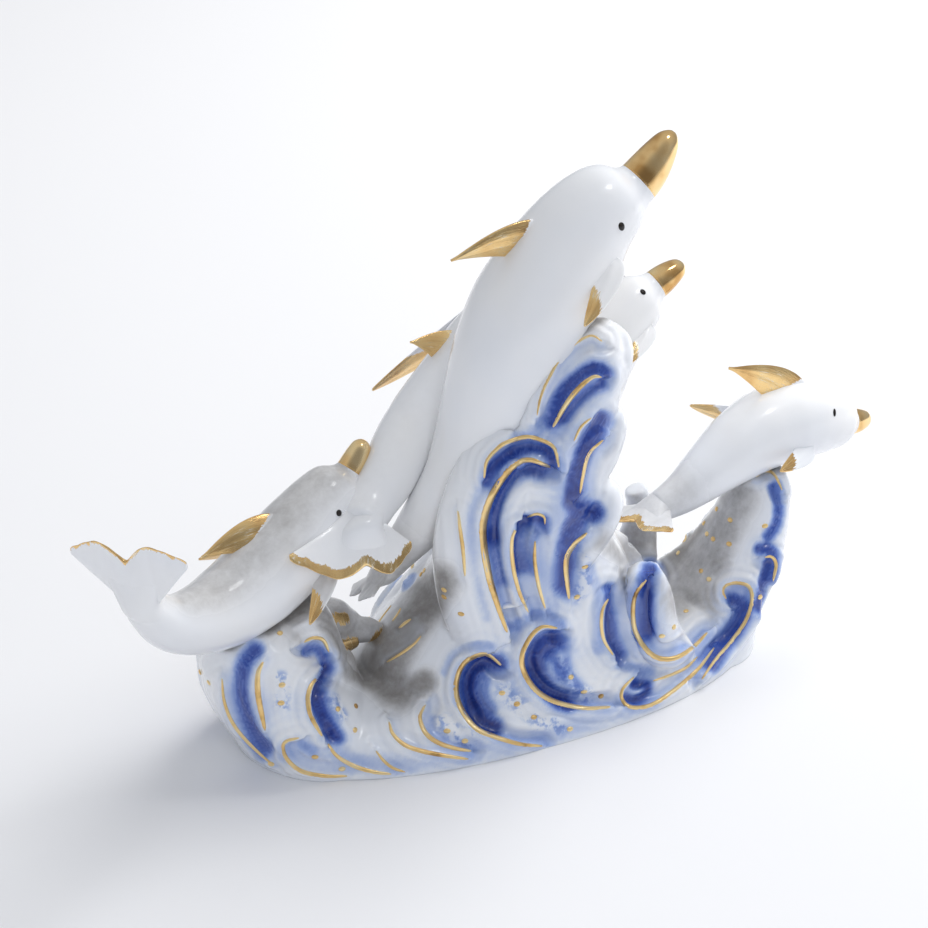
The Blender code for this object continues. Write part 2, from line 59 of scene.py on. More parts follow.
X_AXIS = np.array([1.0, 0.0, 0.0])
Y_AXIS = np.array([0.0, 1.0, 0.0])
CURVE_STEPS = 24
FIRST_ACROSS = (0.31, 0.9, 0.3)


class Mark(str, Enum):
    """The named values that a mesh carries at each of its points."""

    COBALT = "cobalt"
    # settled dust, together with shade painted into sheltered hollows, shaded basins and shaded
    # tails
    DUST = "dust_and_shade"
    FOAM = "foam"
    GILT = "gilt"
    STREAK = "streak"
    REACH = "reach"


@dataclass(frozen=True)
class PhotoView:
    """The photograph's camera, which also says where a brush stroke read off it lies.

    The mirrored view stands behind the figurine, so that the back is painted like the front.
    """

    azimuth: float = -27.5
    elevation: float = 28.0
    distance: float = 1000.0
    look_at: tuple = (-9.8, 6.3, 83.0)
    pixels: float = 928.0
    lens: float = 117.56
    sensor: float = 36.0
    mirrored: bool = False

    def axes(self) -> np.ndarray:
        """The view's right, up and back directions, one to a row."""
        turn, rise = radians(self.azimuth), radians(self.elevation)
        back = np.array([sin(turn) * cos(rise), -cos(turn) * cos(rise), sin(rise)])
        right = np.array([cos(turn), sin(turn), 0.0])
        return np.stack([right, np.cross(back, right), back])

    def eye(self) -> np.ndarray:
        """Where the camera stands."""
        return np.array(self.look_at) + self.axes()[2] * self.distance

    def flipped(self, points: np.ndarray) -> np.ndarray:
        """The points, reflected front to back in the mirrored view."""
        return points * np.array([1.0, -1.0 if self.mirrored else 1.0, 1.0])

    def focal_pixels(self) -> float:
        """The lens's focal length in pixels of the photograph."""
        return self.pixels * self.lens / self.sensor

    def project(self, points: np.ndarray) -> np.ndarray:
        """The pixels at which the view sees some points.

        Args:
            points: One point to a row, in millimetres.

        Returns:
            One pixel position to a row.
        """
        right, up, back = self.axes()
        away = self.flipped(points) - self.eye()
        depth = -(away @ back)
        half = self.pixels / 2
        across = half + self.focal_pixels() * (away @ right) / depth
        down = half - self.focal_pixels() * (away @ up) / depth
        return np.stack([across, down], axis=1)

    def ray(self, pixel: np.ndarray) -> tuple[Vector, Vector]:
        """The line of sight through a pixel.

        Args:
            pixel: The position across and down.

        Returns:
            Its start in metres and its direction.
        """
        right, up, back = self.axes()
        half = self.pixels / 2
        slope = (right * (pixel[0] - half) - up * (pixel[1] - half)) / self.focal_pixels() - back
        return Vector(self.flipped(self.eye()) * MM), Vector(self.flipped(slope)).normalized()

    def facing(self, points: np.ndarray, normals: np.ndarray) -> np.ndarray:
        """How squarely each point's surface faces the view, from 1 down to -1."""
        sight = self.flipped(self.eye()) - points
        sight /= np.linalg.norm(sight, axis=1)[:, None]
        return (sight * normals).sum(axis=1)


FRONT = PhotoView()
REAR = PhotoView(mirrored=True)


def unit(vector) -> np.ndarray:
    """The vector at length one."""
    return np.asarray(vector, float) / np.linalg.norm(vector)


def smooth_step(values: np.ndarray, low: float, high: float) -> np.ndarray:
    """A soft rise from 0 at low to 1 at high."""
    share = np.clip((values - low) / (high - low), 0.0, 1.0)
    return share * share * (3 - 2 * share)


def bell(values: np.ndarray, height: float, centre: float, width: float) -> np.ndarray:
    """A smooth swell of one height and width around a centre."""
    return height * np.exp(-((values - centre) / width) ** 2)


def eased(count: int) -> np.ndarray:
    """Shares from 0 to 1 that lie closer together towards both ends."""
    return (1 - np.cos(np.linspace(0, pi, count))) / 2


def crown(along: float, edge: float, skew: float, fullness: float) -> float:
    """How thick a blade is at a share of its chord, from its edges' share up to 1."""
    return edge + (1 - edge) * sin(pi * along ** skew) ** fullness


def smooth_path(points, count: int) -> np.ndarray:
    """Points at even steps along a smooth curve.

    Args:
        points: The points that the curve passes through, flat or in space.
        count: How many points come back.

    Returns:
        One point to a row.
    """
    knots = np.array(points, float)
    padded = np.vstack([2 * knots[0] - knots[1], knots, 2 * knots[-1] - knots[-2]])
    dense = []
    for index in range(1, len(padded) - 2):
        before, start, end, after = padded[index - 1:index + 3]
        for t in np.linspace(0.0, 1.0, CURVE_STEPS, endpoint=False):
            dense.append(0.5 * (2 * start + (end - before) * t
                                + (2 * before - 5 * start + 4 * end - after) * t ** 2
                                + (3 * start - before - 3 * end + after) * t ** 3))
    dense.append(padded[-2])
    dense = np.array(dense)
    steps = np.linalg.norm(np.diff(dense, axis=0), axis=1)
    travelled = np.concatenate([[0.0], np.cumsum(steps)])
    wanted = np.linspace(0.0, travelled[-1], count)
    return np.stack([np.interp(wanted, travelled, dense[:, axis])
                     for axis in range(dense.shape[1])], axis=1)


def clear_selection() -> None:
    """Leaves edit mode and deselects every object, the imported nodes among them."""
    if bpy.context.mode != "OBJECT":
        bpy.ops.object.mode_set(mode="OBJECT")
    bpy.ops.object.select_all(action="DESELECT")


def pick(*pieces: bpy.types.Object) -> None:
    """Selects just these objects and makes the first one active."""
    clear_selection()
    for piece in pieces:
        piece.select_set(True)
    bpy.context.view_layer.objects.active = pieces[0]


def apply_modifier(piece: bpy.types.Object, kind: str, **settings) -> None:
    """Adds one modifier to a piece, sets it and applies it.

    Args:
        piece: The object that gets it.
        kind: The modifier's type, as Blender spells it.
        settings: Its values by name.
    """
    pick(piece)
    modifier = piece.modifiers.new(kind.lower(), kind)
    for name, value in settings.items():
        setattr(modifier, name, value)
    bpy.ops.object.modifier_apply(modifier=modifier.name)


def grown(name: str, rings, marks: dict | None = None) -> bpy.types.Object:
    """A closed body grown from a circle, whose face is extruded once for each ring.

    Args:
        name: The object's name.
        rings: Rings of points in millimetres, all with the same number of points.
        marks: For each mark, one value for each point of each ring.

    Returns:
        The new object.
    """
    clear_selection()
    bpy.ops.mesh.primitive_circle_add(vertices=len(rings[0]), radius=1.0, fill_type="NGON")
    body = bpy.context.object
    body.name = name
    bpy.ops.object.mode_set(mode="EDIT")
    bm = bmesh.from_edit_mesh(body.data)
    marks = marks or {}
    for mark in marks:
        bm.verts.layers.float.new(mark.value)
    bm.verts.ensure_lookup_table()
    loop = list(bm.verts)
    for index, ring in enumerate(rings):
        if index:
            places = {tuple(vert.co): order for order, vert in enumerate(loop)}
            bpy.ops.mesh.extrude_region_move()
            bm = bmesh.from_edit_mesh(body.data)
            loop = [None] * len(ring)
            for vert in bm.verts:
                if vert.select:
                    loop[places[tuple(vert.co)]] = vert
        for order, vert in enumerate(loop):
            vert.co = Vector(ring[order]) * MM
            for mark, values in marks.items():
                vert[bm.verts.layers.float[mark.value]] = float(values[index][order])
    bmesh.update_edit_mesh(body.data)
    bpy.ops.mesh.select_all(action="SELECT")
    bpy.ops.mesh.normals_make_consistent(inside=False)
    bpy.ops.object.mode_set(mode="OBJECT")
    bpy.ops.object.origin_set(type="ORIGIN_CURSOR")
    return body


def oval(centre, across, along, half_across: float, half_along: float, sides: int,
         power: float = 2.0) -> list:
    """A closed ring of points: an ellipse, or a squarer oval with a higher power."""
    ring = []
    for index in range(sides):
        angle = 2 * pi * index / sides
        u = abs(cos(angle)) ** (2 / power) * (1 if cos(angle) >= 0 else -1)
        v = abs(sin(angle)) ** (2 / power) * (1 if sin(angle) >= 0 else -1)
        ring.append(np.asarray(centre) + half_across * u * across + half_along * v * along)
    return ring


def horn(name: str, points, radii, sides: int = 20) -> bpy.types.Object:
    """A round sweep along a smooth path.

    Args:
        name: The object's name.
        points: The points that the path passes through, in millimetres.
        radii: The radii at even steps along it.
        sides: How many points go round it.

    Returns:
        The closed sweep.
    """
    count = 6 * len(points)
    path = smooth_path(points, count)
    shares = np.linspace(0, 1, len(radii))
    rings = []
    across = None
    for index, centre in enumerate(path):
        ahead = unit(path[min(index + 1, count - 1)] - path[max(index - 1, 0)])
        if across is None:
            across = unit(np.cross(ahead, FIRST_ACROSS))
        across = unit(across - ahead * np.dot(across, ahead))
        radius = np.interp(index / (count - 1), shares, radii)
        rings.append(oval(centre, across, np.cross(ahead, across), radius, radius, sides))
    return grown(name, rings)


def joined(name: str, pieces: list) -> bpy.types.Object:
    """One object made of all the pieces."""
    pick(*pieces)
    if len(pieces) > 1:
        bpy.ops.object.join()
    whole = bpy.context.object
    whole.name = name
    return whole


def points_of(piece: bpy.types.Object) -> np.ndarray:
    """The mesh's points in millimetres, one to a row."""
    flat = np.zeros(len(piece.data.vertices) * 3)
    piece.data.vertices.foreach_get("co", flat)
    return flat.reshape(-1, 3) / MM


def normals_of(piece: bpy.types.Object) -> np.ndarray:
    """The mesh's point normals, one to a row."""
    flat = np.zeros(len(piece.data.vertices) * 3)
    piece.data.vertices.foreach_get("normal", flat)
    return flat.reshape(-1, 3)


def move_points(piece: bpy.types.Object, points: np.ndarray) -> None:
    """Puts the mesh's points at new places, given in millimetres."""
    piece.data.vertices.foreach_set("co", (points * MM).ravel())
    piece.data.update()


def set_mark(piece: bpy.types.Object, mark: Mark, values: np.ndarray) -> None:
    """Writes one value to each point of the mesh."""
    layer = piece.data.attributes.get(mark.value)
    if layer is None:
        layer = piece.data.attributes.new(mark.value, "FLOAT", "POINT")
    layer.data.foreach_set("value", np.asarray(values, np.float32))


def spread_out(piece: bpy.types.Object, values: np.ndarray, rounds: int) -> np.ndarray:
    """Evens a value out over the mesh, each point taking the mean of itself and its neighbours."""
    ends = np.zeros(len(piece.data.edges) * 2, np.int64)
    piece.data.edges.foreach_get("vertices", ends)
    near, far = ends.reshape(-1, 2).T
    count = len(values)
    share = 1 + np.bincount(near, minlength=count) + np.bincount(far, minlength=count)
    for _round in range(rounds):
        values = (values + np.bincount(near, values[far], count)
                  + np.bincount(far, values[near], count)) / share
    return values


def surface_of(pieces: list) -> BVHTree:
    """A ray-casting tree over several pieces together."""
    verts = []
    faces = []
    for piece in pieces:
        start = len(verts)
        verts.extend(vert.co.copy() for vert in piece.data.vertices)
        faces.extend([start + index for index in poly.vertices] for poly in piece.data.polygons)
    return BVHTree.FromPolygons(verts, faces)


class NodeDesk:
    """Adds shader nodes to one tree and wires them up."""

    def __init__(self, tree: bpy.types.NodeTree) -> None:
        """Starts on an existing tree."""
        self.tree = tree
        self.column = 0

    def add(self, kind: str, **inputs) -> bpy.types.Node:
        """Adds a node and sets or links its inputs.

        Args:
            kind: The node's type, as Blender spells it.
            inputs: Values or output sockets by input name, with _ for a space.

        Returns:
            The new node.
        """
        node = self.tree.nodes.new(kind)
        node.location = (self.column, 0)
        self.column += 180
        for name, value in inputs.items():
            self.feed(node.inputs[name.replace("_", " ")], value)
        return node

    def feed(self, socket: bpy.types.NodeSocket, value) -> None:
        """Links an output socket to the input, or sets the input's own value."""
        if isinstance(value, bpy.types.NodeSocket):
            self.tree.links.new(value, socket)
        else:
            socket.default_value = value

    def math(self, operation: str, *values) -> bpy.types.NodeSocket:
        """A Math node's result."""
        node = self.tree.nodes.new("ShaderNodeMath")
        node.operation = operation
        for socket, value in zip(node.inputs, values):
            self.feed(socket, value)
        return node.outputs[0]

    def mix(self, share, first, second) -> bpy.types.NodeSocket:
        """A mix of two colours by a share."""
        node = self.tree.nodes.new("ShaderNodeMix")
        node.data_type = "RGBA"
        self.feed(node.inputs[0], share)
        self.feed(node.inputs[6], first)
        self.feed(node.inputs[7], second)
        return node.outputs[2]

    def blend(self, share, first, second) -> bpy.types.NodeSocket:
        """A mix of two numbers by a share."""
        node = self.tree.nodes.new("ShaderNodeMix")
        node.data_type = "FLOAT"
        self.feed(node.inputs[0], share)
        self.feed(node.inputs[2], first)
        self.feed(node.inputs[3], second)
        return node.outputs[0]

    def rise(self, value, low, high) -> bpy.types.NodeSocket:
        """A soft rise from 0 at low to 1 at high."""
        node = self.tree.nodes.new("ShaderNodeMapRange")
        node.interpolation_type = "SMOOTHSTEP"
        for name, given in (("Value", value), ("From Min", low), ("From Max", high)):
            self.feed(node.inputs[name], given)
        return node.outputs["Result"]

    def ramp(self, value, stops) -> bpy.types.NodeSocket:
        """A colour picked along a ramp of (position, colour) stops."""
        node = self.tree.nodes.new("ShaderNodeValToRGB")
        self.feed(node.inputs[0], value)
        elements = node.color_ramp.elements
        while len(elements) < len(stops):
            elements.new(1.0)
        for element, (position, colour) in zip(elements, stops):
            element.position = position
            element.color = (*colour, 1.0)
        return node.outputs[0]

    def mark(self, mark: Mark) -> bpy.types.NodeSocket:
        """The value that the mesh carries under a mark."""
        node = self.tree.nodes.new("ShaderNodeAttribute")
        node.attribute_name = mark.value
        return node.outputs["Fac"]

    def noise(self, vector, scale: float, detail: float = 3.0, rough: float = 0.5,
              warp: float = 0.0) -> bpy.types.NodeSocket:
        """A noise value over a vector."""
        node = self.tree.nodes.new("ShaderNodeTexNoise")
        self.feed(node.inputs["Vector"], vector)
        node.inputs["Scale"].default_value = scale
        node.inputs["Detail"].default_value = detail
        node.inputs["Roughness"].default_value = rough
        node.inputs["Distortion"].default_value = warp
        return node.outputs["Fac"]

    def place(self) -> bpy.types.NodeSocket:
        """The object's own coordinates."""
        return self.tree.nodes.new("ShaderNodeTexCoord").outputs["Object"]


def new_group(name: str, inputs: tuple, outputs: tuple) -> tuple[bpy.types.NodeTree, NodeDesk]:
    """An empty shader node group with its sockets made.

    Args:
        name: The group's name.
        inputs: Pairs of a socket's name and type.
        outputs: The same for the sockets that it puts out.

    Returns:
        The group and a desk that works on it.
    """
    tree = bpy.data.node_groups.new(name, "ShaderNodeTree")
    for way, sockets in (("INPUT", inputs), ("OUTPUT", outputs)):
        for socket, kind in sockets:
            tree.interface.new_socket(name=socket, in_out=way, socket_type=kind)
    return tree, NodeDesk(tree)


def new_material(name: str) -> tuple[bpy.types.Material, NodeDesk, bpy.types.Node]:
    """A new material, a desk on its tree and its Principled shader."""
    material = bpy.data.materials.new(name)
    material.use_nodes = True
    desk = NodeDesk(material.node_tree)
    return material, desk, material.node_tree.nodes["Principled BSDF"]


NUMBER = "NodeSocketFloat"
COLOUR = "NodeSocketColor"
VECTOR = "NodeSocketVector"

CLAY_TONES = ((0.3, (0.84, 0.86, 0.90)), (0.55, (0.89, 0.895, 0.91)), (0.75, (0.91, 0.905, 0.895)))
# The grey of settled dust, also used as painted shade.
DUST_AND_SHADE_TONE = (0.175, 0.158, 0.142, 1.0)
WORN_GOLD_TONES = ((0.3, (0.58, 0.32, 0.12)), (0.42, (0.86, 0.56, 0.24)),
                   (0.55, (0.94, 0.67, 0.31)), (0.72, (0.98, 0.79, 0.46)))
POLISHED_GOLD_TONES = ((0.34, (0.62, 0.36, 0.13)), (0.46, (0.92, 0.63, 0.29)),
                       (0.62, (0.98, 0.76, 0.42)))
LINE_GOLD_TONES = ((0.30, (0.46, 0.26, 0.09)), (0.38, (0.84, 0.55, 0.21)),
                   (0.5, (0.96, 0.70, 0.32)), (0.75, (0.99, 0.82, 0.48)))
ENAMEL_TONES = ((0.35, (0.004, 0.004, 0.005)), (0.8, (0.03, 0.018, 0.012)))
TENT_TONES = ((0.0, (0.62, 0.68, 0.80)), (0.45, (0.82, 0.86, 0.93)), (1.0, (1.0, 1.0, 1.0)))
ROOM_TONE = (0.44, 0.45, 0.48, 1.0)
TABLE_TONE = (0.84, 0.845, 0.868, 1.0)


def glaze_group() -> bpy.types.NodeTree:
    """The glaze over clay: a cool white that varies, its orange-peel, and settled dust with painted
    shade.
    """
    tree, desk = new_group("glaze_over_clay", (("Place", VECTOR), ("Dust and shade", NUMBER)),
                           (("Colour", COLOUR), ("Roughness", NUMBER), ("Height", NUMBER)))
    inlet = tree.nodes.new("NodeGroupInput")
    outlet = tree.nodes.new("NodeGroupOutput")
    place = inlet.outputs["Place"]
    clay = desk.ramp(desk.noise(place, scale=22.0, detail=3.0, rough=0.5), CLAY_TONES)
    speck = desk.noise(place, scale=260.0, detail=4.0, rough=0.7)
    veil = desk.noise(place, scale=55.0, detail=4.0, rough=0.65)
    mottled = desk.math("MULTIPLY", desk.blend(0.55, speck, veil), 1.5)
    # The mark mottles into dust, and the same mark carries painted shade.
    patch = desk.math("MULTIPLY", inlet.outputs["Dust and shade"],
                      desk.math("ADD", desk.math("MULTIPLY", mottled, 0.8), 0.25))
    dust_and_shade_cover = desk.rise(patch, 0.05, 0.95)
    colour = desk.mix(desk.math("MULTIPLY", dust_and_shade_cover, 0.9), clay, DUST_AND_SHADE_TONE)
    desk.feed(outlet.inputs["Colour"], colour)
    desk.feed(outlet.inputs["Roughness"], desk.blend(dust_and_shade_cover, 0.24, 0.55))
    peel = desk.noise(place, scale=120.0, detail=2.0, rough=0.4)
    desk.feed(outlet.inputs["Height"], desk.blend(dust_and_shade_cover, peel, speck))
    return tree


def gilding_group() -> bpy.types.NodeTree:
    """Thin gold put on with a brush: a ragged edge, streaks where it wore thin, dark tarnish."""
    tree, desk = new_group("brushed_gilding",
                           (("Place", VECTOR), ("Inside", NUMBER), ("Streak", NUMBER),
                            ("Reach", NUMBER), ("Wear", NUMBER)),
                           (("Mask", NUMBER), ("Colour", COLOUR), ("Roughness", NUMBER),
                            ("Height", NUMBER)))
    inlet = tree.nodes.new("NodeGroupInput")
    outlet = tree.nodes.new("NodeGroupOutput")
    combed = desk.add("ShaderNodeCombineXYZ", X=inlet.outputs["Streak"],
                      Y=desk.math("MULTIPLY", inlet.outputs["Reach"], 0.12))
    hairs = desk.noise(combed.outputs[0], scale=1.5, detail=4.0, rough=0.6)
    broad = desk.noise(inlet.outputs["Place"], scale=95.0, detail=2.0, rough=0.5)
    ragged = desk.math("ADD", inlet.outputs["Inside"],
                       desk.math("MULTIPLY", desk.math("SUBTRACT", hairs, 0.5), 4.5))
    edge = desk.rise(ragged, -0.15, 0.25)
    thin = desk.rise(desk.math("ADD", hairs, desk.math("MULTIPLY", broad, 0.5)), 0.83, 1.0)
    fresh = desk.rise(inlet.outputs["Inside"], 12.0, 30.0)
    worn = desk.math("MULTIPLY", desk.math("MULTIPLY", thin, inlet.outputs["Wear"]),
                     desk.math("SUBTRACT", 1.0, fresh))
    desk.feed(outlet.inputs["Mask"], desk.math("MULTIPLY", edge, desk.math("SUBTRACT", 1.0, worn)))
    warm = desk.ramp(desk.blend(0.62, hairs, broad), WORN_GOLD_TONES)
    polished = desk.ramp(broad, POLISHED_GOLD_TONES)
    desk.feed(outlet.inputs["Colour"], desk.mix(fresh, warm, polished))
    desk.feed(outlet.inputs["Roughness"],
              desk.blend(fresh, desk.blend(hairs, 0.14, 0.30), desk.blend(broad, 0.08, 0.20)))
    desk.feed(outlet.inputs["Height"],
              desk.math("MULTIPLY", hairs, desk.math("SUBTRACT", 1.0, fresh)))
    return tree


@dataclass(frozen=True)
class Finish:
    """What the glazed finishes share: the two node groups, built once."""

    glaze: bpy.types.NodeTree
    gilding: bpy.types.NodeTree
    coat: float = 0.4
    coat_roughness: float = 0.06
    glaze_index: float = 1.52

    def start(self, name: str) -> tuple[bpy.types.Material, NodeDesk, bpy.types.Node]:
        """A new material with its desk and its Principled shader."""
        material, desk, shader = new_material(name)
        shader.inputs["Coat Weight"].default_value = self.coat
        shader.inputs["Coat Roughness"].default_value = self.coat_roughness
        shader.inputs["IOR"].default_value = self.glaze_index
        return material, desk, shader

    def glazed(self, desk: NodeDesk, dust_and_shade) -> bpy.types.Node:
        """The glaze group placed in a material."""
        node = desk.tree.nodes.new("ShaderNodeGroup")
        node.node_tree = self.glaze
        desk.feed(node.inputs["Place"], desk.place())
        desk.feed(node.inputs["Dust and shade"], dust_and_shade)
        return node

    def gilded(self, desk: NodeDesk, inside, wear: float) -> bpy.types.Node:
        """The gilding group placed in a material."""
        node = desk.tree.nodes.new("ShaderNodeGroup")
        node.node_tree = self.gilding
        desk.feed(node.inputs["Place"], desk.place())
        desk.feed(node.inputs["Inside"], inside)
        desk.feed(node.inputs["Streak"], desk.mark(Mark.STREAK))
        desk.feed(node.inputs["Reach"], desk.mark(Mark.REACH))
        desk.feed(node.inputs["Wear"], wear)
        return node


@dataclass(frozen=True)
class WaveGlaze:
    """White porcelain with underglaze cobalt pooled in its hollows."""

    finish: Finish
    veil: tuple = (0.70, 0.77, 0.89, 1.0)
    stops: tuple = ((0.0, (0.80, 0.83, 0.88)), (0.16, (0.62, 0.69, 0.84)),
                    (0.36, (0.33, 0.44, 0.74)), (0.58, (0.115, 0.20, 0.55)),
                    (0.8, (0.03, 0.075, 0.36)), (1.0, (0.013, 0.032, 0.22)))

    def build(self) -> bpy.types.Material:
        """The material of the waves."""
        material, desk, shader = self.finish.start("painted_wave_glaze")
        clay = self.finish.glazed(desk, desk.mark(Mark.DUST))
        place = desk.place()
        wash = desk.noise(place, scale=70.0, detail=4.0, rough=0.6, warp=0.6)
        fine = desk.noise(place, scale=240.0, detail=3.0, rough=0.6)
        loose = desk.math("MULTIPLY", desk.math("SUBTRACT", wash, 0.5), 0.34)
        wet = desk.rise(desk.mark(Mark.COBALT), 0.02, 0.3)
        painted = desk.math("ADD", desk.mark(Mark.COBALT), desk.math("MULTIPLY", loose, wet))
        foam = desk.mark(Mark.FOAM)
        curds = desk.math("MULTIPLY", foam, desk.rise(fine, 0.44, 0.6))
        painted = desk.math("ADD", painted, desk.math("MULTIPLY", curds, 0.34))
        blue = desk.ramp(painted, self.stops)
        share = desk.rise(painted, 0.0, 0.22)
        tinted = desk.mix(desk.blend(wash, 0.0, 0.34), clay.outputs["Colour"], self.veil)
        bare = desk.mix(desk.rise(desk.mark(Mark.DUST), 0.05, 0.5), tinted,
                        clay.outputs["Colour"])
        desk.feed(shader.inputs["Base Color"], desk.mix(share, bare, blue))
        desk.feed(shader.inputs["Roughness"], clay.outputs["Roughness"])
        height = desk.math("ADD", desk.math("MULTIPLY", clay.outputs["Height"], 0.25),
                           desk.math("MULTIPLY", desk.math("MULTIPLY", foam, fine), 1.6))
        bump = desk.add("ShaderNodeBump", Height=height, Distance=0.0006, Strength=0.55)
        desk.feed(shader.inputs["Normal"], bump.outputs[0])
        return material


@dataclass(frozen=True)
class DolphinGlaze:
    """White porcelain whose beak and fins are gilded with a worn brush."""

    finish: Finish
    wear: float = 0.55

    def build(self) -> bpy.types.Material:
        """The material of a dolphin."""
        material, desk, shader = self.finish.start("dolphin_glaze")
        clay = self.finish.glazed(desk, desk.mark(Mark.DUST))
        gold = self.finish.gilded(desk, desk.mark(Mark.GILT), self.wear)
        mask = gold.outputs["Mask"]
        desk.feed(shader.inputs["Base Color"],
                  desk.mix(mask, clay.outputs["Colour"], gold.outputs["Colour"]))
        desk.feed(shader.inputs["Metallic"], mask)
        desk.feed(shader.inputs["Roughness"],
                  desk.blend(mask, clay.outputs["Roughness"], gold.outputs["Roughness"]))
        desk.feed(shader.inputs["Coat Weight"],
                  desk.math("MULTIPLY", desk.math("SUBTRACT", 1.0, mask), self.finish.coat))
        height = desk.blend(mask, desk.math("MULTIPLY", clay.outputs["Height"], 0.25),
                            gold.outputs["Height"])
        bump = desk.add("ShaderNodeBump", Height=height, Distance=0.0003, Strength=0.28)
        desk.feed(shader.inputs["Normal"], bump.outputs[0])
        return material


@dataclass(frozen=True)
class GoldPaint:
    """Bright gold drawn on the raised lines, darker where it caught the kiln."""

    name: str = "gold_line_paint"
    metallic: float = 0.7
    roughness: float = 0.27
    worn_roughness: float = 0.42

    def build(self) -> bpy.types.Material:
        """The material of the lines and spots."""
        material, desk, shader = new_material(self.name)
        place = desk.place()
        tone = desk.noise(place, scale=85.0, detail=3.0, rough=0.6)
        desk.feed(shader.inputs["Base Color"], desk.ramp(tone, LINE_GOLD_TONES))
        shader.inputs["Metallic"].default_value = self.metallic
        grain = desk.noise(place, scale=420.0, detail=2.0, rough=0.5)
        desk.feed(shader.inputs["Roughness"],
                  desk.blend(grain, self.roughness, self.worn_roughness))
        bump = desk.add("ShaderNodeBump", Height=grain, Distance=0.0002, Strength=0.35)
        desk.feed(shader.inputs["Normal"], bump.outputs[0])
        return material


@dataclass(frozen=True)
class EyePaint:
    """Glossy black, with the faint browning that thin enamel has."""

    name: str = "eye_enamel"
    roughness: float = 0.08

    def build(self) -> bpy.types.Material:
        """The material of the eyes."""
        material, desk, shader = new_material(self.name)
        tone = desk.noise(desk.place(), scale=900.0, detail=2.0, rough=0.5)
        desk.feed(shader.inputs["Base Color"], desk.ramp(tone, ENAMEL_TONES))
        shader.inputs["Roughness"].default_value = self.roughness
        return material


@dataclass(frozen=True)
class Stroke:
    """One gilded line: the pixels that the brush passed, and its width there.

    The water is scooped out on the inner side of the bend, and hollow says how deep.
    """

    path: tuple
    width: float = 4.0
    hollow: float = 1.0


@dataclass(frozen=True)
class Wash:
    """One pool of cobalt: the pixels along its middle, its half width and its strength."""

    path: tuple
    half_width: float
    strength: float = 1.0


# The gilded lines: down the mound, on to the right arm, then the left arm and the low waves.
STROKES = (
    Stroke(((537, 415), (541, 396), (550, 376), (565, 352), (589, 336), (602, 341)), 3.0, 0.6),
    Stroke(((553, 427), (567, 403), (580, 387), (593, 377), (601, 377)), 5.0, 0.8),
    Stroke(((574, 441), (581, 427), (591, 418)), 2.6, 0.4),
    Stroke(((580, 493), (583, 476), (589, 454), (603, 440)), 3.4, 0.8),
    Stroke(((484, 478), (487, 461), (498, 448), (508, 442), (526, 437), (541, 440), (554, 448),
            (559, 467)), 4.2, 0.8),
    Stroke(((550, 467), (530, 460), (515, 465), (498, 485), (486, 511), (483, 537), (489, 576),
            (498, 606), (507, 632)), 7.0, 1.2),
    Stroke(((517, 526), (512, 541), (513, 565), (519, 591), (528, 612)), 4.0, 0.9),
    Stroke(((527, 517), (537, 514), (544, 517), (545, 524)), 2.6, 0.5),
    Stroke(((535, 541), (535, 563), (539, 587), (545, 608)), 3.8, 0.5),
    Stroke(((587, 533), (573, 546), (566, 563), (569, 599)), 5.0, 0.5),
    Stroke(((458, 511), (460, 528), (463, 550), (465, 576)), 3.6, 0.3),
    Stroke(((557, 628), (542, 627), (530, 638), (522, 657), (525, 674), (537, 691), (556, 702),
            (585, 708), (610, 707)), 5.2, 1.2),
    Stroke(((501, 665), (488, 655), (476, 656), (462, 666), (456, 687), (461, 708), (476, 728),
            (496, 737), (520, 744), (542, 746)), 5.2, 1.2),
    Stroke(((608, 599), (602, 613), (603, 637), (613, 655)), 3.4, 0.8),
    Stroke(((646, 580), (636, 594), (633, 611), (635, 630), (645, 648), (658, 658), (675, 658),
            (692, 648), (707, 633)), 5.0, 1.1),
    Stroke(((634, 677), (623, 689), (622, 699), (631, 707), (651, 705), (673, 691), (697, 670),
            (714, 648)), 4.2, 0.8),
    Stroke(((653, 681), (673, 674), (687, 667), (697, 657)), 3.0, 0.3),
    Stroke(((726, 599), (723, 591), (727, 585), (738, 583), (749, 587), (752, 600), (746, 620),
            (733, 639), (716, 659), (702, 679)), 4.0, 1.0),
    Stroke(((765, 557), (772, 557), (776, 565), (773, 581)), 3.4, 0.8),
    Stroke(((756, 477), (764, 471), (773, 473), (779, 483), (782, 490)), 2.8, 0.5),
    Stroke(((222, 679), (224, 700), (231, 720), (243, 737), (260, 754), (272, 764)), 3.4, 0.4),
    Stroke(((263, 662), (258, 674), (258, 694), (262, 716), (265, 730)), 5.6, 0.3),
    Stroke(((319, 676), (311, 686), (308, 699), (311, 716), (322, 736)), 4.6, 1.0),
    Stroke(((304, 642), (313, 638), (323, 640), (329, 652)), 3.6, 0.8),
    Stroke(((299, 738), (287, 741), (283, 747), (287, 759), (301, 771), (325, 776), (347, 776)),
           4.2, 0.6),
    Stroke(((328, 744), (337, 756), (354, 766), (374, 772), (391, 774)), 4.2, 0.5),
    Stroke(((376, 751), (384, 761), (393, 768), (405, 772)), 3.0, 0.3),
    Stroke(((389, 722), (393, 734), (405, 745), (422, 751), (447, 756), (468, 759)), 4.4, 0.6),
    Stroke(((425, 705), (420, 717), (425, 732), (437, 742), (454, 748), (471, 751)), 4.6, 0.8),
)

# Two short lines on the mound's left slope, which barely press into the clay.
INNER_LINES = (
    Stroke(((399, 628), (405, 623), (411, 619)), 3.0, 0.2),
    Stroke(((387, 662), (402, 653), (414, 644), (421, 636)), 2.8, 0.3),
)

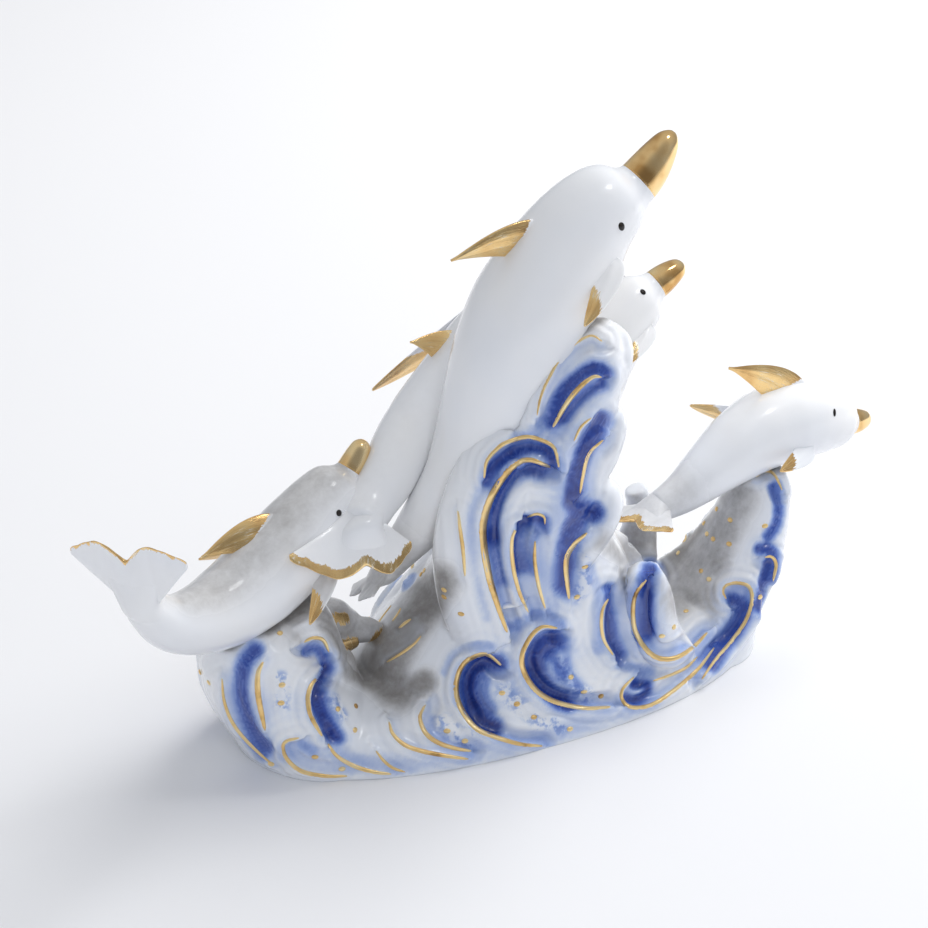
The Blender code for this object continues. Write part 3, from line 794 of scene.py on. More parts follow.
# The pools of cobalt beside those lines, and last the wide faint tints over them.
WASHES = (
    Wash(((553, 421), (562, 397), (577, 378), (595, 368), (606, 374)), 7.0, 0.9),
    Wash(((604, 385), (591, 392), (577, 404), (564, 420)), 5.0, 0.75),
    Wash(((572, 502), (577, 477), (587, 451), (596, 434), (604, 421)), 8.5, 1.0),
    Wash(((565, 586), (567, 556), (573, 530), (583, 514), (593, 513)), 10.5, 1.0),
    Wash(((487, 482), (495, 467), (513, 455), (534, 448), (550, 454), (553, 468)), 5.5, 0.85),
    Wash(((492, 540), (493, 514), (498, 497), (510, 480), (528, 470), (541, 473)), 8.0, 0.8),
    Wash(((492, 536), (496, 560), (502, 584)), 6.0, 0.5),
    Wash(((522, 568), (518, 548), (521, 530), (531, 521), (542, 521)), 6.5, 0.85),
    Wash(((532, 570), (529, 552), (536, 534), (545, 530)), 5.0, 0.4),
    Wash(((556, 642), (543, 650), (537, 665), (543, 683), (556, 697), (566, 702)), 9.5, 1.0),
    Wash(((551, 655), (556, 663), (561, 676)), 5.0, 0.55),
    Wash(((497, 663), (482, 664), (471, 677), (470, 695), (479, 714), (494, 726)), 9.0, 1.0),
    Wash(((486, 680), (484, 695), (492, 709)), 5.0, 0.5),
    Wash(((609, 590), (611, 613), (613, 635), (621, 654)), 6.5, 0.85),
    Wash(((650, 570), (647, 591), (645, 613), (646, 634)), 8.5, 1.0),
    Wash(((636, 683), (646, 683), (648, 693), (637, 700), (629, 697)), 5.0, 0.9),
    Wash(((620, 664), (634, 668), (650, 671)), 5.0, 0.35),
    Wash(((733, 598), (743, 604), (742, 619), (732, 634), (720, 650), (711, 666)), 6.5, 0.85),
    Wash(((760, 549), (770, 549), (771, 563), (766, 583), (757, 606)), 6.0, 0.9),
    Wash(((774, 486), (779, 503), (777, 524), (768, 536)), 5.5, 0.8),
    Wash(((704, 655), (722, 634), (736, 612)), 5.0, 0.3),
    Wash(((255, 650), (245, 662), (240, 685), (243, 709), (253, 734), (264, 750)), 8.0, 0.85),
    Wash(((328, 668), (321, 684), (322, 704), (330, 724), (338, 738)), 6.5, 1.0),
    Wash(((310, 650), (318, 650), (325, 657)), 4.5, 0.65),
    Wash(((303, 746), (312, 751)), 5.0, 0.3),
    Wash(((433, 716), (432, 728), (446, 738)), 4.0, 0.25),
    Wash(((444, 672), (452, 655), (470, 645), (490, 645)), 4.0, 0.22),
    Wash(((517, 628), (528, 618), (545, 616), (560, 622)), 5.0, 0.32),
    Wash(((566, 640), (568, 668), (580, 690)), 4.0, 0.25),
    Wash(((590, 566), (597, 590), (596, 620), (598, 650)), 4.5, 0.25),
    Wash(((545, 425), (533, 432), (515, 440)), 6.0, 0.3),
    Wash(((480, 490), (470, 520), (474, 570), (486, 618)), 5.0, 0.18),
    Wash(((590, 375), (572, 450), (560, 520), (530, 600)), 26.0, 0.07),
    Wash(((480, 690), (540, 675), (600, 655), (650, 625), (700, 645), (745, 600)), 20.0, 0.08),
    Wash(((240, 700), (285, 705), (325, 700)), 16.0, 0.10),
    Wash(((290, 752), (380, 765), (470, 755), (560, 735), (650, 700)), 10.0, 0.18),
)

# Where curds of foam stand on the clay.
FOAM_BEDS = (
    Wash(((561, 665), (571, 683), (587, 697)), 9.0),
    Wash(((505, 690), (520, 705), (541, 721), (560, 727)), 9.0),
    Wash(((443, 722), (456, 733), (470, 741)), 8.0),
    Wash(((281, 677), (283, 690), (282, 708)), 7.0),
    Wash(((583, 560), (586, 580), (577, 598)), 6.0),
    Wash(((762, 590), (752, 612)), 6.0),
    Wash(((333, 700), (342, 715)), 6.0),
    Wash(((735, 606), (729, 616)), 5.0),
)

# Where dust and painted shade lie thickest: in the shaded hollows on both sides of the mound, on
# the left arm and in the right arm.
DUST_AND_SHADE_BEDS = (
    Wash(((602, 540), (622, 552), (636, 560)), 15.0, 0.65),
    Wash(((438, 585), (415, 615), (398, 645), (385, 672), (397, 690)), 25.0, 0.95),
    Wash(((350, 668), (375, 680), (405, 690), (425, 682)), 16.0, 0.9),
    Wash(((322, 612), (335, 640), (345, 665)), 13.0, 0.8),
    Wash(((288, 625), (302, 640)), 13.0, 0.35),
    Wash(((738, 500), (716, 540), (692, 575), (672, 600)), 25.0, 0.75),
)

# The drops of gold between the lines.
GOLD_SPOTS = (
    (280, 633), (282, 685), (281, 703), (338, 709), (356, 706), (355, 730), (315, 757),
    (342, 769), (271, 764), (200, 672), (218, 718), (447, 731), (465, 741), (502, 693),
    (517, 704), (534, 717), (571, 677), (584, 692), (601, 696), (570, 729), (577, 597),
    (585, 567), (461, 614), (444, 597), (730, 520), (713, 539), (729, 544), (701, 571),
    (686, 611), (674, 627), (662, 636), (765, 526), (760, 597), (678, 553), (444, 590),
)


@dataclass
class BrushWork:
    """Everything that was drawn on the waves, ready to be measured from any pixel.

    Widths, offsets and reaches are pixels, and the clay's heights are millimetres. A swell is
    given by its height, its offset to a stroke's inner side and its width.
    """

    strokes: list
    ripple_pitch: float = 8.5
    ripple_height: float = 0.40
    ripple_pull: float = 7.0
    ripple_fade: float = 30.0
    carve_reach: float = 46.0
    line_swell: tuple = (0.5, 0.0, 2.6)
    bank_swell: tuple = (1.35, -4.5, 5.5)
    scoop_swell: tuple = (2.1, 9.0, 6.0)
    lowest: float = -3.6
    highest: float = 2.8
    tint_reach: float = 30.0
    tint_swell: tuple = (0.20, 6.0, 6.0)
    tint_rings: float = 0.06
    tint_fade: float = 16.0

    def __post_init__(self) -> None:
        """Smooths every path once."""
        self.paths = [smooth_path(stroke.path, 26) for stroke in self.strokes]
        self.washes = [smooth_path(wash.path, 12) for wash in WASHES]
        self.foam = [smooth_path(bed.path, 8) for bed in FOAM_BEDS]
        self.dust_and_shade = [smooth_path(bed.path, 8) for bed in DUST_AND_SHADE_BEDS]

    @staticmethod
    def inner_side(path: np.ndarray) -> float:
        """The sign of the side to which a path bends."""
        middle = path[len(path) // 2]
        ahead = path[len(path) // 2 + 1] - path[len(path) // 2 - 1]
        inward = (path[0] + path[-1]) / 2 - middle
        return 1.0 if ahead[0] * inward[1] - ahead[1] * inward[0] >= 0 else -1.0

    @staticmethod
    def distance_to(path: np.ndarray, pixels: np.ndarray, reach: float) -> tuple:
        """How far pixels lie from a path.

        Args:
            path: The path's pixels.
            pixels: The pixels to measure.
            reach: The distance past which nothing is measured.

        Returns:
            The rows that lie near, their distances and the side of the path they lie on.
        """
        low, high = path.min(axis=0) - reach, path.max(axis=0) + reach
        near = np.flatnonzero(((pixels > low) & (pixels < high)).all(axis=1))
        spots = pixels[near]
        best = np.full(len(near), 1e9)
        side = np.ones(len(near))
        for start, end in zip(path, path[1:]):
            run = end - start
            share = np.clip(((spots - start) @ run) / max(run @ run, 1e-9), 0, 1)
            offset = spots - start - share[:, None] * run
            gap = np.hypot(offset[:, 0], offset[:, 1])
            closer = gap < best
            turned = run[0] * offset[:, 1] - run[1] * offset[:, 0]
            side = np.where(closer, np.where(turned >= 0, 1.0, -1.0), side)
            best = np.where(closer, gap, best)
        return near, best, side

    def relief(self, pixels: np.ndarray) -> np.ndarray:
        """How far the clay stands out at each pixel, in millimetres."""
        height = np.zeros(len(pixels))
        ripple = np.zeros(len(pixels))
        weight = np.full(len(pixels), 1e-6)
        closest = np.full(len(pixels), 1e9)
        for stroke, path in zip(self.strokes, self.paths):
            near, gap, side = self.distance_to(path, pixels, self.carve_reach)
            inward = gap * side * self.inner_side(path)
            shape = bell(gap, *self.line_swell)
            shape += stroke.hollow * bell(inward, *self.bank_swell)
            shape -= stroke.hollow * bell(inward, *self.scoop_swell)
            height[near] += shape
            pull = np.exp(-gap / self.ripple_pull)
            ripple[near] += (pull * min(1.0, stroke.hollow)
                             * np.cos(2 * pi * inward / self.ripple_pitch))
            weight[near] += pull
            closest[near] = np.minimum(closest[near], gap)
        height += ripple / weight * bell(closest, self.ripple_height, 0.0, self.ripple_fade)
        for wash, path in zip(WASHES, self.washes):
            wide = wash.half_width
            near, gap, _side = self.distance_to(path, pixels, 3 * wide)
            shape = np.exp(-(gap / (1.1 * wide)) ** 3) - bell(gap, 0.45, 2.0 * wide, 0.7 * wide)
            height[near] -= min(1.2, wide / 7) * wash.strength * shape
        return np.clip(height, self.lowest, self.highest)

    def cobalt(self, pixels: np.ndarray) -> np.ndarray:
        """How much cobalt lies at each pixel, from 0 to about 1."""
        bare = np.ones(len(pixels))
        for wash, path in zip(WASHES, self.washes):
            near, gap, side = self.distance_to(path, pixels, 4.5 * wash.half_width)
            hairs = 0.15 * np.sin(gap * side * 1.5 + path[0][0]) + 0.08 * np.sin(gap * side * 3.7)
            core = np.exp(-(gap / (1.2 * wash.half_width)) ** 2.8) * (1 - abs(hairs))
            halo = 0.19 * np.exp(-(gap / (2.1 * wash.half_width)) ** 1.9)
            bare[near] *= 1 - np.clip(wash.strength * np.maximum(core, halo), 0, 0.98)
        for stroke, path in zip(self.strokes, self.paths):
            near, gap, side = self.distance_to(path, pixels, self.tint_reach)
            inward = gap * side * self.inner_side(path)
            line = stroke.hollow * bell(inward, *self.tint_swell)
            rings = self.tint_rings * (1 - np.cos(2 * pi * inward / self.ripple_pitch))
            rings *= np.exp(-gap / self.tint_fade) * min(1.0, stroke.hollow)
            bare[near] *= 1 - np.clip(line + rings, 0, 0.9)
        return 1 - bare

    def covered(self, pixels: np.ndarray, beds: tuple, paths: list) -> np.ndarray:
        """Where some beds lie, each up to its strength, from 0 to 1."""
        amount = np.zeros(len(pixels))
        for bed, path in zip(beds, paths):
            near, gap, _side = self.distance_to(path, pixels, 3 * bed.half_width)
            shape = bed.strength * np.exp(-(gap / bed.half_width) ** 3)
            amount[near] = np.maximum(amount[near], shape)
        return amount

    def foaming(self, pixels: np.ndarray) -> np.ndarray:
        """Where curds of foam were modelled, from 0 to 1."""
        return self.covered(pixels, FOAM_BEDS, self.foam)

    def dust_and_shade_at(self, pixels: np.ndarray) -> np.ndarray:
        """Where dust and painted shade lie thickest, from 0 to 1."""
        return self.covered(pixels, DUST_AND_SHADE_BEDS, self.dust_and_shade)


@dataclass
class WaveBase:
    """The wave base: its masses kneaded into one skin, carved and painted stroke by stroke."""

    foot_half_length: float = 95.8
    foot_half_depth: float = 45.3
    foot_squareness: float = 2.2
    saddle_height: float = 17.0
    mound_height: float = 142.0
    mound_half_length: float = 60.0
    left_arm_height: float = 49.0
    left_arm_flare: float = 20.0
    right_arm_height: float = 56.0
    right_arm_flare: float = 28.0
    voxel: float = 0.85
    pearl: tuple = (-27.0, 12.0, 39.0)
    pearl_tint: float = 0.34
    # The ray casts that find sheltered clay, where shade is painted in.
    shade_seed: int = 7
    shade_rays: int = 14
    quick_rays: int = 4
    shade_lift: float = 0.6
    shade_lean: float = 1.15
    shade_reach: float = 50.0
    shade_rounds: int = 10
    name: str = "waves"
    dust_and_shade_beds: np.ndarray | None = field(default=None, init=False)

    def stack(self, name: str, stations, power: float = 2.0) -> bpy.types.Object:
        """A mass of water stacked from horizontal ovals.

        Args:
            name: The object's name.
            stations: Rows of x, y, z, half length and half depth.
            power: The ovals' squareness.

        Returns:
            The closed mass.
        """
        rings = [oval((x, y, z), X_AXIS, Y_AXIS, length, depth, 48, power)
                 for x, y, z, length, depth in stations]
        return grown(name, rings)

    def foot(self) -> bpy.types.Object:
        """The boat-shaped foot with its rounded rim."""
        profile = ((-0.25, 1.0, 1.0), (0.0, 1.0, 1.0), (0.25, 1.01, 0.985), (0.5, 1.015, 0.93),
                   (0.72, 1.01, 0.83), (0.88, 0.99, 0.68), (0.97, 0.96, 0.48), (1.0, 0.9, 0.25))
        return self.stack("foot", [(0, 0, share * self.saddle_height,
                                    length * self.foot_half_length,
                                    depth * self.foot_half_depth)
                                   for share, length, depth in profile], self.foot_squareness)

    def mound(self) -> bpy.types.Object:
        """The tall wave in the middle, which climbs to the big dolphin's belly."""
        profile = ((-0.03, 6, 0, 1.0, 0.95), (0.09, 6, 0, 0.97, 0.9), (0.18, 5, 0, 0.84, 0.78),
                   (0.31, 8, -4, 0.6, 0.66), (0.45, 6, -10, 0.43, 0.55),
                   (0.58, 6, -16, 0.38, 0.45), (0.73, 9, -22, 0.32, 0.36),
                   (0.86, 16, -26, 0.23, 0.27), (0.95, 20, -27, 0.15, 0.2),
                   (1.0, 22, -27, 0.06, 0.08))
        return self.stack("mound", [(x, y, share * self.mound_height,
                                     length * self.mound_half_length,
                                     depth * self.foot_half_depth)
                                    for share, x, y, length, depth in profile])

    def left_arm(self) -> bpy.types.Object:
        """The wave at the left end, flaring outwards under the left dolphin."""
        reach = self.foot_half_length - 28
        profile = ((-0.1, 0.0, 0, 25, 0.7), (0.1, 0.2, 0, 26, 0.69), (0.3, 0.5, -1, 25, 0.63),
                   (0.5, 0.84, -1, 22, 0.55), (0.72, 1.1, -2, 18.5, 0.45),
                   (0.92, 1.2, -3, 14, 0.34), (1.0, 1.1, -3, 8, 0.18))
        return self.stack("left_arm", [(-reach - lean * self.left_arm_flare, y,
                                        share * self.left_arm_height, length,
                                        depth * self.foot_half_depth)
                                       for share, lean, y, length, depth in profile])

    def right_arm(self) -> bpy.types.Object:
        """The slimmer wave at the right end, flaring outwards under the right dolphin."""
        reach = self.foot_half_length - 23
        profile = ((-0.1, 0.0, 0, 21.5, 0.7), (0.2, 0.25, 0, 18.5, 0.6),
                   (0.45, 0.68, -2, 14.5, 0.46), (0.7, 0.92, -2, 12.5, 0.34),
                   (0.9, 1.05, -1, 10.5, 0.27), (1.0, 1.1, 0, 8, 0.2))
        return self.stack("right_arm", [(reach + lean * self.right_arm_flare, y,
                                         share * self.right_arm_height, length,
                                         depth * self.foot_half_depth)
                                        for share, lean, y, length, depth in profile])

    def lobes(self) -> list:
        """The rounded wave heads that stand out from the mound, and the small crests behind."""
        sweeps = (
            (((18, -25, 106), (25, -27, 122), (27, -27, 133), (20, -26, 140)), (6, 6.5, 6, 4)),
            (((-6, -27, 105), (-2, -28, 116), (4, -27, 125), (10, -26, 132), (18, -26, 136)),
             (3, 4.5, 5.5, 5.5, 4)),
            (((15, -26, 83), (22, -29, 97), (25, -29, 107), (19, -28, 113)), (6, 6.5, 5.5, 3.5)),
            (((11, -28, 59), (19, -31, 71), (23, -31, 80), (17, -30, 86)), (7, 7, 6, 4)),
            (((52, -30, 10), (44, -31, 24), (41, -31, 40), (38, -30, 49)), (8, 8, 7.5, 5.5)),
            (((-16, -20, 36), (-22, -21, 52), (-24, -20, 68), (-22, -20, 84), (-17, -21, 98),
              (-9, -24, 110)), (12, 11, 10, 9, 8, 5)),
            (((-10, -24, 50), (-13, -25, 66), (-13, -26, 84), (-8, -27, 100)), (10, 9, 8.5, 6)),
            (((60, 18, 4), (66, 22, 20), (70, 24, 36), (67, 24, 46)), (13, 9, 6, 4)),
            (((-66, 0, 10), (-71, 0, 28), (-73, 0, 42), (-76, -1, 50)), (16, 14, 12, 9)),
            (((-30, 18, 6), (-24, 17, 22), (-16, 13, 38), (-12, 10, 52)), (14, 12, 10, 7)),
            (((36, 20, 4), (32, 20, 28), (28, 19, 52), (27, 18, 68)), (16, 14, 12, 9)),
            (((44, -12, 26), (41, -9, 38), (40, -7, 46), (43, -6, 50)), (10, 10, 8, 4)),
            (((-29, 12, 22), (-28, 12, 31), (-27, 12, 40)), (5, 3.8, 2.8)),
        )
        return [horn(f"lobe_{index}", points, radii)
                for index, (points, radii) in enumerate(sweeps)]

    def kneaded(self) -> bpy.types.Object:
        """All the masses in one smooth skin, cut flat below."""
        masses = [self.foot(), self.mound(), self.left_arm(), self.right_arm(), *self.lobes()]
        clay = joined(self.name, masses)
        apply_modifier(clay, "REMESH", mode="VOXEL", voxel_size=self.voxel * MM)
        apply_modifier(clay, "SMOOTH", factor=0.5, iterations=7)
        bpy.ops.object.mode_set(mode="EDIT")
        bpy.ops.mesh.select_all(action="SELECT")
        bpy.ops.mesh.bisect(plane_co=(0, 0, 0), plane_no=(0, 0, 1), clear_inner=True,
                            use_fill=True, threshold=1e-7)
        bpy.ops.object.mode_set(mode="OBJECT")
        bpy.ops.object.shade_smooth()
        return clay

    def carve(self, clay: bpy.types.Object) -> None:
        """Presses the strokes and pools into the skin and paints it, front and back."""
        points, normals = points_of(clay), normals_of(clay)
        relief = np.zeros(len(points))
        cobalt = np.zeros(len(points))
        foam = np.zeros(len(points))
        self.dust_and_shade_beds = np.zeros(len(points))
        brush = BrushWork([*STROKES, *INNER_LINES])
        unpainted = 1.0
        for view in (FRONT, REAR):
            facing = view.facing(points, normals)
            shown = smooth_step(facing, 0.02, 0.3) * unpainted
            unpainted = 1 - smooth_step(facing, -0.05, 0.15)
            pixels = view.project(points)
            relief += shown * brush.relief(pixels)
            cobalt = np.maximum(cobalt, shown * brush.cobalt(pixels))
            foam = np.maximum(foam, shown * brush.foaming(pixels))
            # the dust and shade beds, painted shade for the most part
            self.dust_and_shade_beds = np.maximum(self.dust_and_shade_beds, shown * brush.dust_and_shade_at(pixels))
        standing = smooth_step(points[:, 2], 0.4, 4.0)
        move_points(clay, points + normals * (relief * standing)[:, None])
        apply_modifier(clay, "SMOOTH", factor=0.4, iterations=1)
        pearl = np.linalg.norm(points - np.array(self.pearl), axis=1)
        cobalt = np.maximum(cobalt, self.pearl_tint * (1 - smooth_step(pearl, 3.0, 5.0)))
        set_mark(clay, Mark.COBALT, cobalt)
        set_mark(clay, Mark.FOAM, foam * (1 - cobalt))

    def settle_dust_and_shade(self, clay: bpy.types.Object, others: list) -> None:
        """Paints grey shade into the clay where it is sheltered, more where it looks up, and lays
        the dust and shade beds over it.

        Args:
            clay: The finished skin.
            others: The pieces that shelter it too.
        """
        tree = surface_of([clay, *others])
        points, normals = points_of(clay), normals_of(clay)
        rng = np.random.default_rng(self.shade_seed)
        rays = rng.normal(size=(self.shade_rays, 3))
        rays /= np.linalg.norm(rays, axis=1)[:, None]
        sheltered = np.zeros(len(points))
        for index, (point, normal) in enumerate(zip(points, normals)):
            start = Vector((point + normal * self.shade_lift) * MM)
            blocked = 0
            for ray in rays:
                way = Vector(unit(ray + normal * self.shade_lean))
                if tree.ray_cast(start, way, self.shade_reach * MM)[0] is not None:
                    blocked += 1
            sheltered[index] = blocked / len(rays)
        sheltered = spread_out(clay, sheltered, self.shade_rounds)
        level = smooth_step(normals[:, 2], -0.7, 0.7) * 0.5 + 0.5
        # painted shade in the sheltered hollows, joined with the dust and shade beds
        dust_and_shade_cover = np.maximum(smooth_step(sheltered, 0.25, 0.85) * level, self.dust_and_shade_beds)
        set_mark(clay, Mark.DUST, dust_and_shade_cover)

    def build(self) -> bpy.types.Object:
        """The carved and painted waves, without their dust and painted shade."""
        clay = self.kneaded()
        self.carve(clay)
        return clay


BEAD_CROWN = ((-1.0, -0.1), (-0.6, 0.7), (0.0, 1.0), (0.6, 0.7), (1.0, -0.1))
BEAD_UNDERSIDE = (0.6, -0.6)


@dataclass
class Gilder:
    """Lays gold lines and spots on the finished waves, along the photograph's lines of sight."""

    view: PhotoView
    surface: BVHTree
    step: float = 2.2
    lift: float = 0.30
    sink: float = 0.5
    jump: float = 6.5
    spot_half: float = 1.05
    spot_shape: tuple = (1.15, 0.85, 0.45)
    boldness: float = 1.15

    def touch(self, pixel: np.ndarray) -> tuple[np.ndarray, np.ndarray] | None:
        """Where a line of sight meets the waves, with the surface's normal."""
        start, way = self.view.ray(pixel)
        place, normal, _index, _far = self.surface.ray_cast(start, way)
        if place is None:
            return None
        return np.array(place) / MM, np.array(normal)

    def bead(self, path: np.ndarray, index: int, half: float) -> list | None:
        """One cross-section of a line: a low crown above the clay and a sunken underside."""
        ahead = path[min(index + 1, len(path) - 1)] - path[max(index - 1, 0)]
        across = np.array([-ahead[1], ahead[0]]) / max(np.hypot(*ahead), 1e-9)
        ring = []
        for offset, height in BEAD_CROWN:
            hit = self.touch(path[index] + across * offset * half)
            if hit is None or (ring and np.linalg.norm(hit[0] - ring[-1]) > self.jump):
                return None
            ring.append(hit[0] + hit[1] * self.lift * height)
        for offset in BEAD_UNDERSIDE:
            hit = self.touch(path[index] + across * offset * half)
            ring.append(hit[0] - hit[1] * self.sink)
        return ring

    def line(self, name: str, stroke: Stroke) -> list:
        """A gilded line as closed ribbons, broken where something stands in front.

        Args:
            name: The name that its pieces start with.
            stroke: The line to draw.

        Returns:
            The ribbons.
        """
        length = np.linalg.norm(np.diff(np.array(stroke.path, float), axis=0), axis=1).sum()
        path = smooth_path(stroke.path, max(8, int(length / self.step)))
        runs = [[]]
        for index in range(len(path)):
            share = index / (len(path) - 1)
            half = self.boldness * stroke.width / 2 * (0.25 + 0.75 * sin(pi * share) ** 0.45)
            ring = self.bead(path, index, half)
            if ring is None or (runs[-1] and np.linalg.norm(ring[2] - runs[-1][-1][2]) > self.jump):
                runs.append([])
            if ring is not None:
                runs[-1].append(ring)
        return [grown(f"{name}_{order}", rings)
                for order, rings in enumerate(runs) if len(rings) > 3]

    def spot(self, name: str, pixel: tuple) -> bpy.types.Object | None:
        """A drop of gold: a ball pressed flat on the clay."""
        hit = self.touch(np.array(pixel, float))
        if hit is None:
            return None
        place, normal = hit
        clear_selection()
        bpy.ops.mesh.primitive_ico_sphere_add(subdivisions=2, radius=self.spot_half * MM)
        drop = bpy.context.object
        drop.name = name
        turn = Vector(normal).to_track_quat("Z", "Y").to_matrix()
        for vert in drop.data.vertices:
            flat = [along * part for along, part in zip(vert.co, self.spot_shape)]
            vert.co = turn @ Vector(flat) + Vector(place) * MM
        return drop

    def build(self, name: str, spots: tuple) -> bpy.types.Object:
        """All the gold of one side of the waves, as one piece."""
        pieces = []
        for index, stroke in enumerate([*STROKES, *INNER_LINES]):
            pieces += self.line(f"{name}_line_{index}", stroke)
        for index, pixel in enumerate(spots):
            drop = self.spot(f"{name}_spot_{index}", pixel)
            if drop is not None:
                pieces.append(drop)
        gold = joined(name, pieces)
        bpy.ops.object.shade_smooth()
        return gold


# Half heights of a dolphin's body behind the beak, as shares of its girth.
BODY_PROFILE = (
    (0.0, 0.36), (0.012, 0.44), (0.035, 0.56), (0.08, 0.70), (0.15, 0.83), (0.24, 0.94),
    (0.34, 1.0), (0.46, 0.97), (0.60, 0.84), (0.74, 0.65), (0.88, 0.45), (1.0, 0.30),
)
BEAK_STEPS = (0.0, 0.01, 0.03, 0.07, 0.13, 0.2, 0.3, 0.5, 0.75, 0.92, 0.985)

# The fairing's rings: on the body by share and slimness, and behind it by run, width and height.
FAIRING_FRONT = ((0.88, 0.75), (0.93, 0.9), (0.97, 0.97))
FAIRING_BEHIND = ((0.0, 1.03, 0.98), (0.12, 1.14, 0.84), (0.24, 1.27, 0.66), (0.36, 1.38, 0.46),
                  (0.48, 1.42, 0.27), (0.58, 1.3, 0.1))
NEVER_GILDED = -20.0


